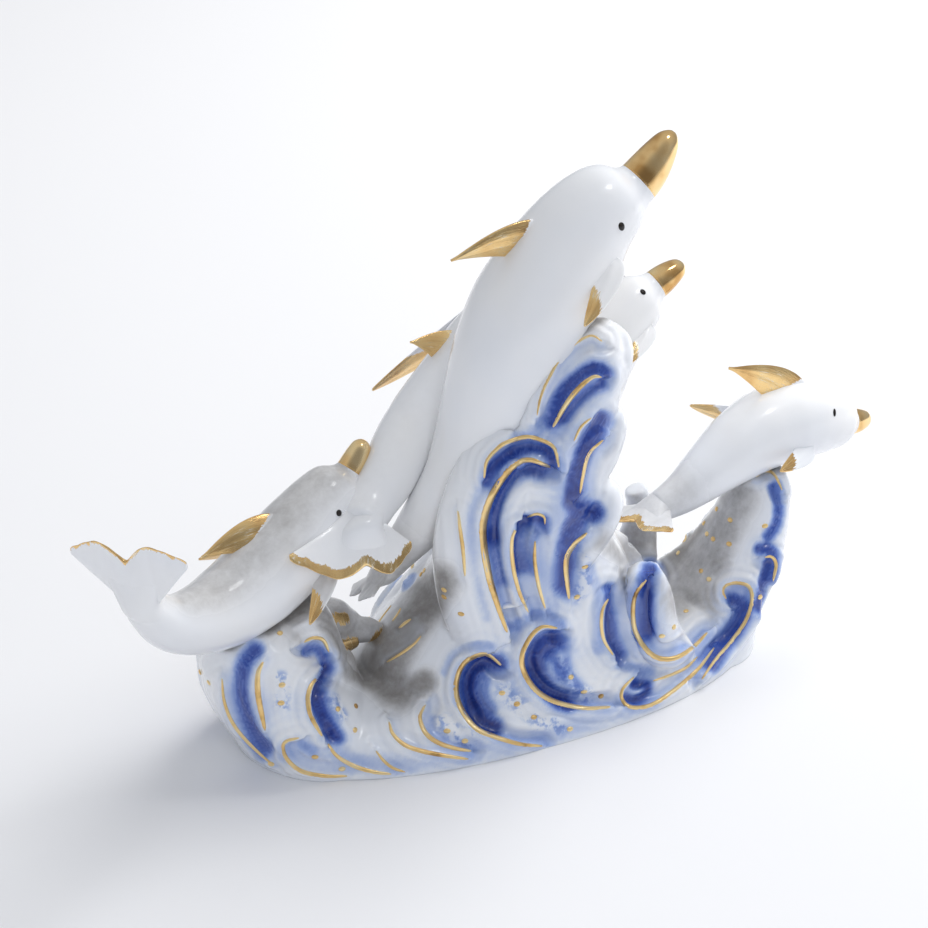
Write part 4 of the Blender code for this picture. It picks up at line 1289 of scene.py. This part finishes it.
@dataclass
class Dolphin:
    """One dolphin: its spine from beak tip to tail stock, and the sizes that hang on it.

    The dorsal fin has a place along the body, a chord and a tip. Each flipper is given by where
    its tip reaches and where the near one's flat side looks, and the flukes by the way they
    spread, the way they trail and how their tips curl.
    """

    name: str
    spine: tuple
    girth: float
    back: tuple
    beak: float
    beak_root: float
    beak_tip: float
    dorsal: tuple
    dorsal_tip: tuple
    flipper_tips: tuple
    fluke_span: float
    fluke_length: float
    fluke_side: tuple
    fluke_aft: tuple
    fluke_cup: tuple = (0.0, 0.0, 0.0)
    flipper_share: float = 0.13
    flipper_face: tuple = (-0.4, -0.8, 0.45)
    tail: float = 0.3
    eye_pixel: tuple | None = None
    eye_half: tuple = (1.15, 1.5)
    dusty: float = 0.2
    beak_crispness: float = 40.0
    # how dark the shade painted around the tail is
    tail_shade: float = 0.0
    fluke_gilt: float = 2.0
    body_width_ratio: float = 0.94
    fin_thickness: float = 2.6
    fluke_thickness: float = 3.0
    flipper_chord: float = 0.37
    flipper_gilt: float = 0.74
    flipper_rise: float = 0.22
    dorsal_rise: float = 0.2
    waist_share: float = 0.45
    brow_share: float = 0.05
    beak_bulge: float = 0.14
    spine_points: int = 241
    heading_reach: int = 6
    sides: int = 32
    rings: int = 64

    def __post_init__(self) -> None:
        """Lays out the spine and the directions along it."""
        self.path = smooth_path(self.spine, self.spine_points)
        self.length = float(np.linalg.norm(np.diff(self.path, axis=0), axis=1).sum())
        self.beak_share = self.beak / self.length
        last = len(self.path) - 1
        reach = self.heading_reach
        self.headings = [unit(self.path[max(index - reach, 0)]
                              - self.path[min(index + reach, last)])
                         for index in range(last + 1)]
        self.backs = self.carry_back(len(self.path) // 3)

    def carry_back(self, start: int) -> list:
        """The back direction, carried along the path from its start without any twist."""
        backs = [None] * len(self.path)
        for order in (range(start, len(self.path)), range(start, -1, -1)):
            back = np.array(self.back, float)
            for index in order:
                back = unit(back - self.headings[index] * np.dot(back, self.headings[index]))
                backs[index] = back
        return backs

    def frame_at(self, share: float) -> tuple:
        """Centre, heading to the beak, back and side directions at a share of the length."""
        spot = min(max(share, 0.0), 1.0) * (len(self.path) - 1)
        low = min(int(spot), len(self.path) - 2)
        part = spot - low
        centre = self.path[low] * (1 - part) + self.path[low + 1] * part
        heading = unit(self.headings[low] * (1 - part) + self.headings[low + 1] * part)
        back = self.backs[low] * (1 - part) + self.backs[low + 1] * part
        back = unit(back - heading * np.dot(back, heading))
        return centre, heading, back, np.cross(heading, back)

    def half_height(self, share: float) -> float:
        """The body's half height at a share of its length."""
        if share < self.beak_share:
            inner = share / self.beak_share
            cone = self.beak_tip + (self.beak_root - self.beak_tip) * inner ** 0.85
            cone *= 1 + self.beak_bulge * sin(pi * inner)
            return cone * min(1.0, 1 - (1 - min(1.0, inner / 0.22 + 0.02)) ** 2.4) ** 0.5
        shares, radii = zip(*BODY_PROFILE)
        stretched = (share - self.beak_share) / (1 - self.beak_share)
        radius = float(np.interp(stretched, shares, radii))
        slack = max(0.0, stretched - self.waist_share) / (1 - self.waist_share)
        brow = max(0.0, 1 - stretched / self.brow_share)
        root = self.beak_root / self.girth
        radius = radius * (1 - brow) + root * brow
        return (radius + (self.tail - BODY_PROFILE[-1][1]) * slack) * self.girth

    def body(self) -> bpy.types.Object:
        """The body from beak tip to tail stock, a little narrower than it is high."""
        beak = [self.beak_share * step for step in BEAK_STEPS]
        trunk = np.linspace(0, 1, self.rings - len(beak)) ** 1.2
        brow = self.beak_share * 1.015
        shares = beak + [brow + (1 - brow) * step for step in trunk]
        rings, gilt, streak, reach = [], [], [], []
        for share in shares:
            centre, _heading, back, side = self.frame_at(share)
            half = self.half_height(share)
            rings.append(oval(centre, side, back, half * self.body_width_ratio, half, self.sides))
            inside = (self.beak_share - share) * self.length * self.beak_crispness
            gilt.append([inside] * self.sides)
            streak.append([half * 2 * pi * order / self.sides for order in range(self.sides)])
            reach.append([share * self.length] * self.sides)
        return grown(f"{self.name}_body", rings,
                     {Mark.GILT: gilt, Mark.STREAK: streak, Mark.REACH: reach})

    def fin(self, name: str, front: np.ndarray, rear: np.ndarray, tip: np.ndarray,
            rise: np.ndarray, thickness: float, gilt_from: float, ribs: int,
            leaf: bool = False) -> bpy.types.Object:
        """A leaf-shaped fin lofted from a base line to a tip, along an axis that bends back.

        Args:
            name: The object's name.
            front: The base line's end nearer the head.
            rear: Its other end.
            tip: The fin's tip.
            rise: How the axis leaves the body before it bends.
            thickness: The thickness at the base.
            gilt_from: The share of the reach from which the fin is gilded.
            ribs: How many shallow ribs run along it.
            leaf: Whether it is a rounded leaf, gilded first along its rear edge.

        Returns:
            The closed fin.
        """
        middle = (front + rear) / 2
        chord = rear - front
        normal = unit(np.cross(chord, tip - middle + rise))
        along_side = eased(13)
        reach = float(np.linalg.norm(tip - middle))
        rings, gilt, streak, length = [], [], [], []
        for step in (*np.linspace(0.0, 0.9, 15), 0.95, 0.985, 1.0):
            centre = ((1 - step) ** 2 * middle + 2 * step * (1 - step) * (middle + rise)
                      + step ** 2 * tip)
            onward = unit((1 - step) * rise + step * (tip - middle - rise))
            level = (1 - step) * unit(chord) + step * np.cross(onward, normal)
            width = max(0.06, 1 - step ** 1.7) * (1 + 0.22 * np.exp(-step / 0.07))
            if leaf:
                width = max(0.01, sin(pi * (0.22 + 0.78 * step) ** 0.9)) ** 0.6
            span = unit(level) * np.linalg.norm(chord) * width
            thick = thickness * (1 - 0.68 * step) * (1 + 1.1 * np.exp(-step / 0.08))
            upper, lower = [], []
            for along in along_side:
                wave = 0.11 * cos(2 * pi * ribs * along) * sin(pi * along) * min(1, step * 6)
                half = thick * (crown(along, edge=0.17, skew=0.8, fullness=0.75) / 2 + wave)
                spot = centre + span * (along - 0.5)
                upper.append(spot + normal * half)
                lower.append(spot - normal * half)
            rings.append(upper + lower[::-1])
            across = [along * np.linalg.norm(chord) for along in along_side]
            lean = 0.6 * (np.array(across) - np.linalg.norm(chord) / 2) if leaf else 0.0
            edge = (step - gilt_from) * reach + lean * np.ones(len(across))
            gilt.append([*edge, *edge[::-1]])
            streak.append(across + across[::-1])
            length.append([step * reach] * len(rings[-1]))
        return grown(name, rings, {Mark.GILT: gilt, Mark.STREAK: streak, Mark.REACH: length})

    def dorsal_fin(self) -> bpy.types.Object:
        """The swept-back fin on the back, gilded all over."""
        share, chord = self.dorsal
        half = chord / 2 / self.length
        ends = []
        for end in (share - half, share + half):
            centre, _heading, back, _side = self.frame_at(end)
            ends.append(centre + back * self.half_height(end) * 0.85)
        _centre, _heading, back, _side = self.frame_at(share)
        tip = np.array(self.dorsal_tip, float)
        rise = back * np.linalg.norm(tip - (ends[0] + ends[1]) / 2) * self.dorsal_rise
        return self.fin(f"{self.name}_dorsal", ends[0], ends[1], tip, rise,
                        self.fin_thickness * self.girth / 15, 0.22, 5)

    def flippers(self) -> list:
        """The two flippers behind the head, white at the root and gilded at the tip."""
        pair = []
        place = self.beak_share + self.flipper_share
        centre, heading, back, side = self.frame_at(place)
        half = self.half_height(place)
        for hand, tip in zip((1, -1), self.flipper_tips):
            out = unit(side * hand - back * 0.45)
            root = centre + out * half * 0.75
            onward = np.array(tip, float) - root
            reach = np.linalg.norm(onward)
            face = np.array(self.flipper_face)
            if hand < 0:
                face = face - 2 * side * np.dot(face, side)
            chord = unit(np.cross(face, onward)) * reach * self.flipper_chord / 2
            chord *= 1 if np.dot(chord, heading) >= 0 else -1
            pair.append(self.fin(f"{self.name}_flipper_{hand}", root + chord, root - chord,
                                 np.array(tip, float), out * reach * self.flipper_rise,
                                 self.fin_thickness, self.flipper_gilt, 2, leaf=True))
        return pair

    def fluke_axes(self) -> tuple:
        """The directions across the flukes, behind them and out of their flat."""
        side = unit(self.fluke_side)
        aft = np.array(self.fluke_aft, float)
        aft = unit(aft - side * np.dot(aft, side))
        return side, aft, np.cross(side, aft)

    def fairing(self) -> bpy.types.Object:
        """The smooth swelling that carries the round tail stock into the flat flukes."""
        side, aft, up = self.fluke_axes()
        stock = self.half_height(1.0)
        rings = []
        for share, slim in FAIRING_FRONT:
            half = self.half_height(share) * slim
            rings.append(oval(self.frame_at(share)[0], side, up, half, half, self.sides))
        for run, wide, high in FAIRING_BEHIND:
            rings.append(oval(self.path[-1] + aft * run * self.fluke_length, side, up,
                              stock * wide, stock * high, self.sides))
        plain = [[NEVER_GILDED] * self.sides] * len(rings)
        level = [[0.0] * self.sides] * len(rings)
        return grown(f"{self.name}_fairing", rings,
                     {Mark.GILT: plain, Mark.STREAK: level, Mark.REACH: level})

    def flukes(self) -> bpy.types.Object:
        """The tail: two swept lobes with a notch between them, ribbed and gilded behind."""
        centre = self.path[-1]
        side, aft, up = self.fluke_axes()
        cup = np.array(self.fluke_cup, float)
        stock = self.half_height(1.0)
        span = self.fluke_span / 2
        deep = self.fluke_length
        along_side = eased(13)
        rings, gilt, streak, length = [], [], [], []
        for step in 2 * eased(41) - 1:
            width = abs(step)
            lead = -stock * 1.5 + (deep * 0.62 + stock * 1.5) * width ** 0.9
            trail = deep * (1.0 - 0.30 * max(0.0, 1 - width / 0.4) ** 1.5 - 0.28 * width ** 3)
            trail += (0.3 * cos(width * 11 + 1) + 0.2 * cos(step * 27)) * min(1.0, width * 4)
            root = max(0.0, 1 - width / 0.42) ** 1.4
            thick = self.fluke_thickness * (1 - 0.65 * width) + stock * 0.7 * root
            upper, lower = [], []
            for along in along_side:
                wave = 0.05 * cos(width * 24) * min(1.0, along * 2) * (1 - root)
                half = thick * (crown(along, edge=0.15, skew=0.75, fullness=0.8) / 2 + wave)
                run = lead + (trail - lead) * along
                spot = centre + aft * run + side * step * span + cup * width ** 1.6
                upper.append(spot + up * half)
                lower.append(spot - up * half)
            rings.append(upper + lower[::-1])
            edge = [(along - 1) * (trail - lead) + self.fluke_gilt for along in along_side]
            gilt.append(edge + edge[::-1])
            streak.append([step * span * 0.5] * len(rings[-1]))
            depth = [along * deep for along in along_side]
            length.append(depth + depth[::-1])
        return grown(f"{self.name}_flukes", rings,
                     {Mark.GILT: gilt, Mark.STREAK: streak, Mark.REACH: length})

    def eyes(self, body: bpy.types.Object) -> list:
        """Two black drops on the head, the far one mirrored across the back's plane.

        Args:
            body: The finished body that carries them.

        Returns:
            The eyes.
        """
        surface = surface_of([body])
        centre, heading, back, side = self.frame_at(self.beak_share + 0.07)
        start, way = FRONT.ray(np.array(self.eye_pixel, float))
        place = surface.ray_cast(start, way)[0] if self.eye_pixel else None
        if place is None:
            place = Vector((centre + (side + back * 0.2) * self.girth * 0.6) * MM)
        near = np.array(place) / MM
        far = near - 2 * side * np.dot(near - centre, side)
        pair = []
        for index, spot in enumerate((near, far)):
            seat, normal, _face, _far = surface.find_nearest(Vector(spot) * MM)
            clear_selection()
            bpy.ops.mesh.primitive_uv_sphere_add(segments=20, ring_count=12, radius=MM)
            eye = bpy.context.object
            eye.name = f"{self.name}_eye_{index}"
            wide = unit(heading - np.array(normal) * np.dot(heading, normal))
            tall = np.cross(np.array(normal), wide)
            for vert in eye.data.vertices:
                spread = (wide * vert.co.x * self.eye_half[0] + tall * vert.co.y * self.eye_half[1]
                          + np.array(normal) * vert.co.z * 0.45)
                vert.co = Vector(spread) + seat
            pair.append(eye)
        return pair

    def build(self) -> tuple[bpy.types.Object, bpy.types.Object | None]:
        """The dolphin in one piece, and its eyes."""
        body = self.body()
        whole = joined(self.name, [body, self.dorsal_fin(), self.fairing(), self.flukes(),
                                   *self.flippers()])
        apply_modifier(whole, "SUBSURF", levels=1, render_levels=1)
        bpy.ops.object.shade_smooth()
        self.dust_and_shade(whole)
        eyes = None
        if self.eye_pixel is not None:
            eyes = joined(f"{self.name}_eyes", self.eyes(whole))
            bpy.ops.object.shade_smooth()
        return whole, eyes

    def dust_and_shade(self, whole: bpy.types.Object) -> None:
        """Along the back, where the surface looks up, dust settles, and around the tail shade is
        painted in.
        """
        level = smooth_step(normals_of(whole)[:, 2], 0.1, 0.95) * self.dusty
        away = np.linalg.norm(points_of(whole) - self.path[-1], axis=1)
        # painted shade around the tail
        near_tail = self.tail_shade * (1 - smooth_step(away, 8, 34))
        set_mark(whole, Mark.DUST, np.maximum(level, near_tail))


def school() -> list[Dolphin]:
    """The five dolphins, the big one first."""
    return [
        Dolphin(
            "big_dolphin",
            spine=((55.5, -12, 195), (43.5, -12, 180.5), (30.5, -12, 174), (24.5, -12, 169.5),
                   (16.5, -12, 160.5), (9, -12, 150), (2, -12, 138), (-5, -11, 119),
                   (-11, -9, 101), (-18, -6, 85), (-27, -3, 73), (-35, 0, 62), (-42, 2, 52.5)),
            girth=20.6, back=(-0.75, 0.0, 0.66), beak=19.5, beak_root=7.4, beak_tip=2.9,
            dorsal=(0.31, 13.0), dorsal_tip=(-24, -12, 166.5),
            flipper_tips=((10.5, -36, 146.5), (20, 16, 152)), fluke_span=24.0,
            fluke_length=13.0, fluke_side=(-0.15, -0.9, 0.35), fluke_aft=(-0.8, 0.1, -0.55),
            tail=0.23, flipper_share=0.145, eye_pixel=(621.5, 226.5), dusty=0.12,
            tail_shade=0.6, fluke_gilt=-4.0),
        Dolphin(
            "rear_right_dolphin",
            spine=((81, 20, 131), (73, 20, 127), (64, 20, 121.5), (52.5, 20, 112), (42, 19, 99),
                   (33, 18.5, 84), (28.5, 19, 65), (26, 20, 45), (26, 22, 30)),
            girth=15.0, back=(-0.7, 0.0, 0.7), beak=12.0, beak_root=5.3, beak_tip=2.6,
            dorsal=(0.36, 15.0), dorsal_tip=(26, 24, 122),
            flipper_tips=((49, 3, 107), (50, 38, 103)), fluke_span=24.0, fluke_length=14.0,
            fluke_side=(0.1, 1.0, 0.0), fluke_aft=(0.1, 0.2, -1.0), flipper_share=0.1,
            eye_pixel=(643, 292), eye_half=(0.9, 1.1), dusty=0.1),
        Dolphin(
            "rear_left_dolphin",
            spine=((38, 27, 156), (32, 26, 145), (24, 24, 135), (11, 22, 121), (-3, 19, 109.5),
                   (-16, 16, 100.5), (-29, 11, 92.5), (-39, 5, 85), (-47, 0, 80),
                   (-54.5, -7.5, 77)),
            girth=14.0, back=(-0.72, 0.1, 0.68), beak=14.0, beak_root=4.7, beak_tip=1.8,
            dorsal=(0.47, 13.0), dorsal_tip=(-22, 21, 124),
            flipper_tips=((-1, 5, 104), (-26, 42, 98)), fluke_span=41.0, fluke_length=17.0,
            fluke_side=(0.98, -0.12, -0.08), fluke_aft=(-0.53, -0.5, -0.65),
            fluke_cup=(-5.6, -0.7, 6.4), tail=0.5, dusty=0.25, fluke_gilt=3.2,
            tail_shade=0.15),
        Dolphin(
            "left_dolphin",
            spine=((-43.4, 12, 97.5), (-49, 11, 88.5), (-59, 8, 81), (-72, 4, 71.5),
                   (-86, 0, 63.5), (-100, -5, 60), (-114, -11, 61), (-126, -16, 66.5),
                   (-135.5, -20, 78)),
            girth=15.5, back=(-0.6, -0.1, 0.75), beak=11.0, beak_root=4.8, beak_tip=2.5,
            dorsal=(0.42, 19.0), dorsal_tip=(-106, 2, 75),
            flipper_tips=((-78, -18, 53), (-103, 12, 68.5)), fluke_span=38.0,
            fluke_length=27.0, fluke_side=(0.7, -0.71, 0.05), fluke_aft=(-0.4, -0.1, 0.95),
            fluke_cup=(0, -2, 3), tail=0.4,
            flipper_share=0.25, eye_pixel=(339, 513), eye_half=(1.1, 1.1), dusty=0.6,
            fluke_gilt=0.7),
        Dolphin(
            "right_dolphin",
            spine=((152, 6, 62), (143, 5, 63.2), (131, 4, 67.5), (119, 3, 70.5), (107, 2, 70.8),
                   (94, 0, 68), (81, -2, 62.5), (69, -4, 57.5), (58, -5, 54.5)),
            girth=14.6, back=(-0.1, 0.0, 1.0), beak=8.5, beak_root=4.7, beak_tip=2.2,
            dorsal=(0.41, 15.0), dorsal_tip=(90, 3, 97),
            flipper_tips=((98.5, -19, 65.5), (87, 22, 75)), fluke_span=32.0, fluke_length=15.0,
            fluke_side=(0.31, -0.94, 0.13), fluke_aft=(-0.98, -0.05, -0.08), tail=0.36,
            flipper_share=0.29, eye_pixel=(834.5, 412.6), eye_half=(0.7, 1.4), dusty=0.12,
            tail_shade=0.45, fluke_gilt=2.6),
    ]


@dataclass
class Turtle:
    """The little turtle that rests on the left arm's inner flank."""

    name: str = "turtle"
    voxel: float = 0.6
    dusty: float = 0.75
    rim_half: float = 2.9
    gilded_rims: tuple = (((-70, 1, 33), (-62, -3, 33), (-53, 0, 30)),
                          ((-60, 1, 41), (-55, 2, 39)), ((-44, 4, 27), (-38, 7, 26)),
                          ((-63, -8, 26), (-58, -8, 18)))

    def build(self) -> bpy.types.Object:
        """Its shell, head and flipper in one piece, with worn gold on the rims."""
        shell = horn("turtle_shell", ((-70, 10, 30), (-61, 10, 34), (-52, 10, 31), (-49, 10, 29)),
                     (8, 9.5, 8, 4), 24)
        head = horn("turtle_head", ((-53, 8, 30), (-46, 7, 29), (-38, 7, 26)), (4.6, 4.4, 1.2), 16)
        flipper = horn("turtle_flipper", ((-65, -1, 34), (-61, -4, 28), (-57, -4, 19)),
                       (2.4, 4.4, 2.8), 16)
        rim = horn("turtle_rim", ((-69, 3, 31), (-61, -1, 30), (-52, 3, 28)), (2.2, 2.6, 1.8), 16)
        whole = joined(self.name, [shell, head, flipper, rim])
        apply_modifier(whole, "REMESH", mode="VOXEL", voxel_size=self.voxel * MM)
        apply_modifier(whole, "SMOOTH", factor=0.5, iterations=3)
        bpy.ops.object.shade_smooth()
        points = points_of(whole)
        nearest = np.full(len(points), 1e9)
        for rim in self.gilded_rims:
            for spot in smooth_path(rim, 16):
                nearest = np.minimum(nearest, np.linalg.norm(points - spot, axis=1))
        set_mark(whole, Mark.GILT, self.rim_half - nearest)
        set_mark(whole, Mark.STREAK, points[:, 0])
        set_mark(whole, Mark.REACH, points[:, 2])
        set_mark(whole, Mark.DUST, np.full(len(points), self.dusty))
        return whole


@dataclass
class Studio:
    """A pale table, a key light from the right, a fill, a small glint and a white surround.

    Places are metres. The room is the way in which the surround is dim.
    """

    view: PhotoView
    room: tuple = (-0.46, -0.89)
    table_half: float = 4.0
    key_energy: float = 21.5
    fill_energy: float = 3.8
    glint_energy: float = 1.6
    surround_strength: float = 0.56

    def floor(self) -> bpy.types.Object:
        """The plain pale table top."""
        clear_selection()
        bpy.ops.mesh.primitive_plane_add(size=2 * self.table_half, location=(0, 0, 0))
        top = bpy.context.object
        top.name = "table_top"
        material, _desk, shader = new_material("pale_table")
        shader.inputs["Base Color"].default_value = TABLE_TONE
        shader.inputs["Roughness"].default_value = 0.7
        shader.inputs["Specular IOR Level"].default_value = 0.2
        top.data.materials.append(material)
        return top

    def lamp(self, name: str, place: tuple, size: float, energy: float,
             colour: tuple) -> bpy.types.Object:
        """One soft square light that looks at the figurine's middle."""
        data = bpy.data.lights.new(name, "AREA")
        data.shape = "SQUARE"
        data.size = size
        data.energy = energy
        data.color = colour
        light = bpy.data.objects.new(name, data)
        light.location = place
        way = Vector((0, 0, 0.07)) - Vector(place)
        light.rotation_euler = way.to_track_quat("-Z", "Y").to_euler()
        bpy.context.scene.collection.objects.link(light)
        return light

    def surround(self) -> None:
        """Soft light from everywhere but the dim room that the table looks out to."""
        world = bpy.data.worlds.new("white_tent")
        world.use_nodes = True
        desk = NodeDesk(world.node_tree)
        ground = world.node_tree.nodes["Background"]
        way = desk.tree.nodes.new("ShaderNodeTexCoord").outputs["Generated"]
        split = desk.add("ShaderNodeSeparateXYZ", Vector=way)
        tone = desk.ramp(desk.rise(split.outputs["Z"], -0.2, 0.9), TENT_TONES)
        room = desk.math("ADD", desk.math("MULTIPLY", split.outputs["X"], self.room[0]),
                         desk.math("MULTIPLY", split.outputs["Y"], self.room[1]))
        dark = desk.rise(room, 0.35, 0.85)
        desk.feed(ground.inputs["Color"], desk.mix(dark, tone, ROOM_TONE))
        ground.inputs["Strength"].default_value = self.surround_strength
        bpy.context.scene.world = world

    def camera(self) -> None:
        """The camera at the photograph's place, angle and lens."""
        data = bpy.data.cameras.new("photo_camera")
        data.sensor_width = self.view.sensor
        data.lens = self.view.lens
        data.clip_start = 0.05
        data.clip_end = 20.0
        camera = bpy.data.objects.new("photo_camera", data)
        camera.location = Vector(self.view.eye()) * MM
        camera.rotation_mode = "QUATERNION"
        camera.rotation_quaternion = Vector(-self.view.axes()[2]).to_track_quat("-Z", "Y")
        bpy.context.scene.collection.objects.link(camera)
        bpy.context.scene.camera = camera

    def build(self) -> None:
        """The whole studio."""
        self.floor()
        self.surround()
        key = self.lamp("key_softbox", (1.05, 0.25, 1.0), 1.15, self.key_energy,
                        (1.0, 0.99, 0.97))
        fill = self.lamp("fill_softbox", (-0.5, -1.0, 0.7), 0.9, self.fill_energy,
                         (0.87, 0.92, 1.0))
        key.visible_glossy = False
        fill.visible_glossy = False
        glint = self.lamp("glint_softbox", (0.45, -0.35, 1.3), 0.22, self.glint_energy,
                          (1.0, 1.0, 1.0))
        glint.visible_diffuse = False
        self.camera()
        bpy.context.scene.view_settings.view_transform = "Standard"
        bpy.context.scene.view_settings.look = "None"


def settle(piece: bpy.types.Object, material: bpy.types.Material) -> None:
    """Finishes a piece: its material, what it rides on and the slot that it takes it from."""
    piece.data.materials.clear()
    piece.data.materials.append(material)
    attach(piece, BODY)
    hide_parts(NODE)
    LOG.info("%s: %d faces", piece.name, len(piece.data.polygons))


def main() -> None:
    """Builds the studio and every piece, and reports each one."""
    logging.basicConfig(level=logging.INFO, format="%(name)s %(message)s")
    Studio(FRONT).build()
    finish = Finish(glaze_group(), gilding_group())
    wave_glaze = WaveGlaze(finish).build()
    dolphin_glaze = DolphinGlaze(finish).build()
    gold = GoldPaint().build()
    enamel = EyePaint().build()

    dolphins = []
    for dolphin in school():
        whole, eyes = dolphin.build()
        settle(whole, dolphin_glaze)
        dolphins.append(whole)
        if eyes is not None:
            settle(eyes, enamel)
    turtle = Turtle().build()
    settle(turtle, dolphin_glaze)

    base = WaveBase()
    waves = base.build()
    surface = surface_of([waves])
    base.settle_dust_and_shade(waves, [*dolphins, turtle])
    settle(waves, wave_glaze)
    for view, name in ((FRONT, "front_gold"), (REAR, "rear_gold")):
        settle(Gilder(view, surface).build(name, GOLD_SPOTS), gold)
    clear_selection()


if __name__ == "__main__":
    main()
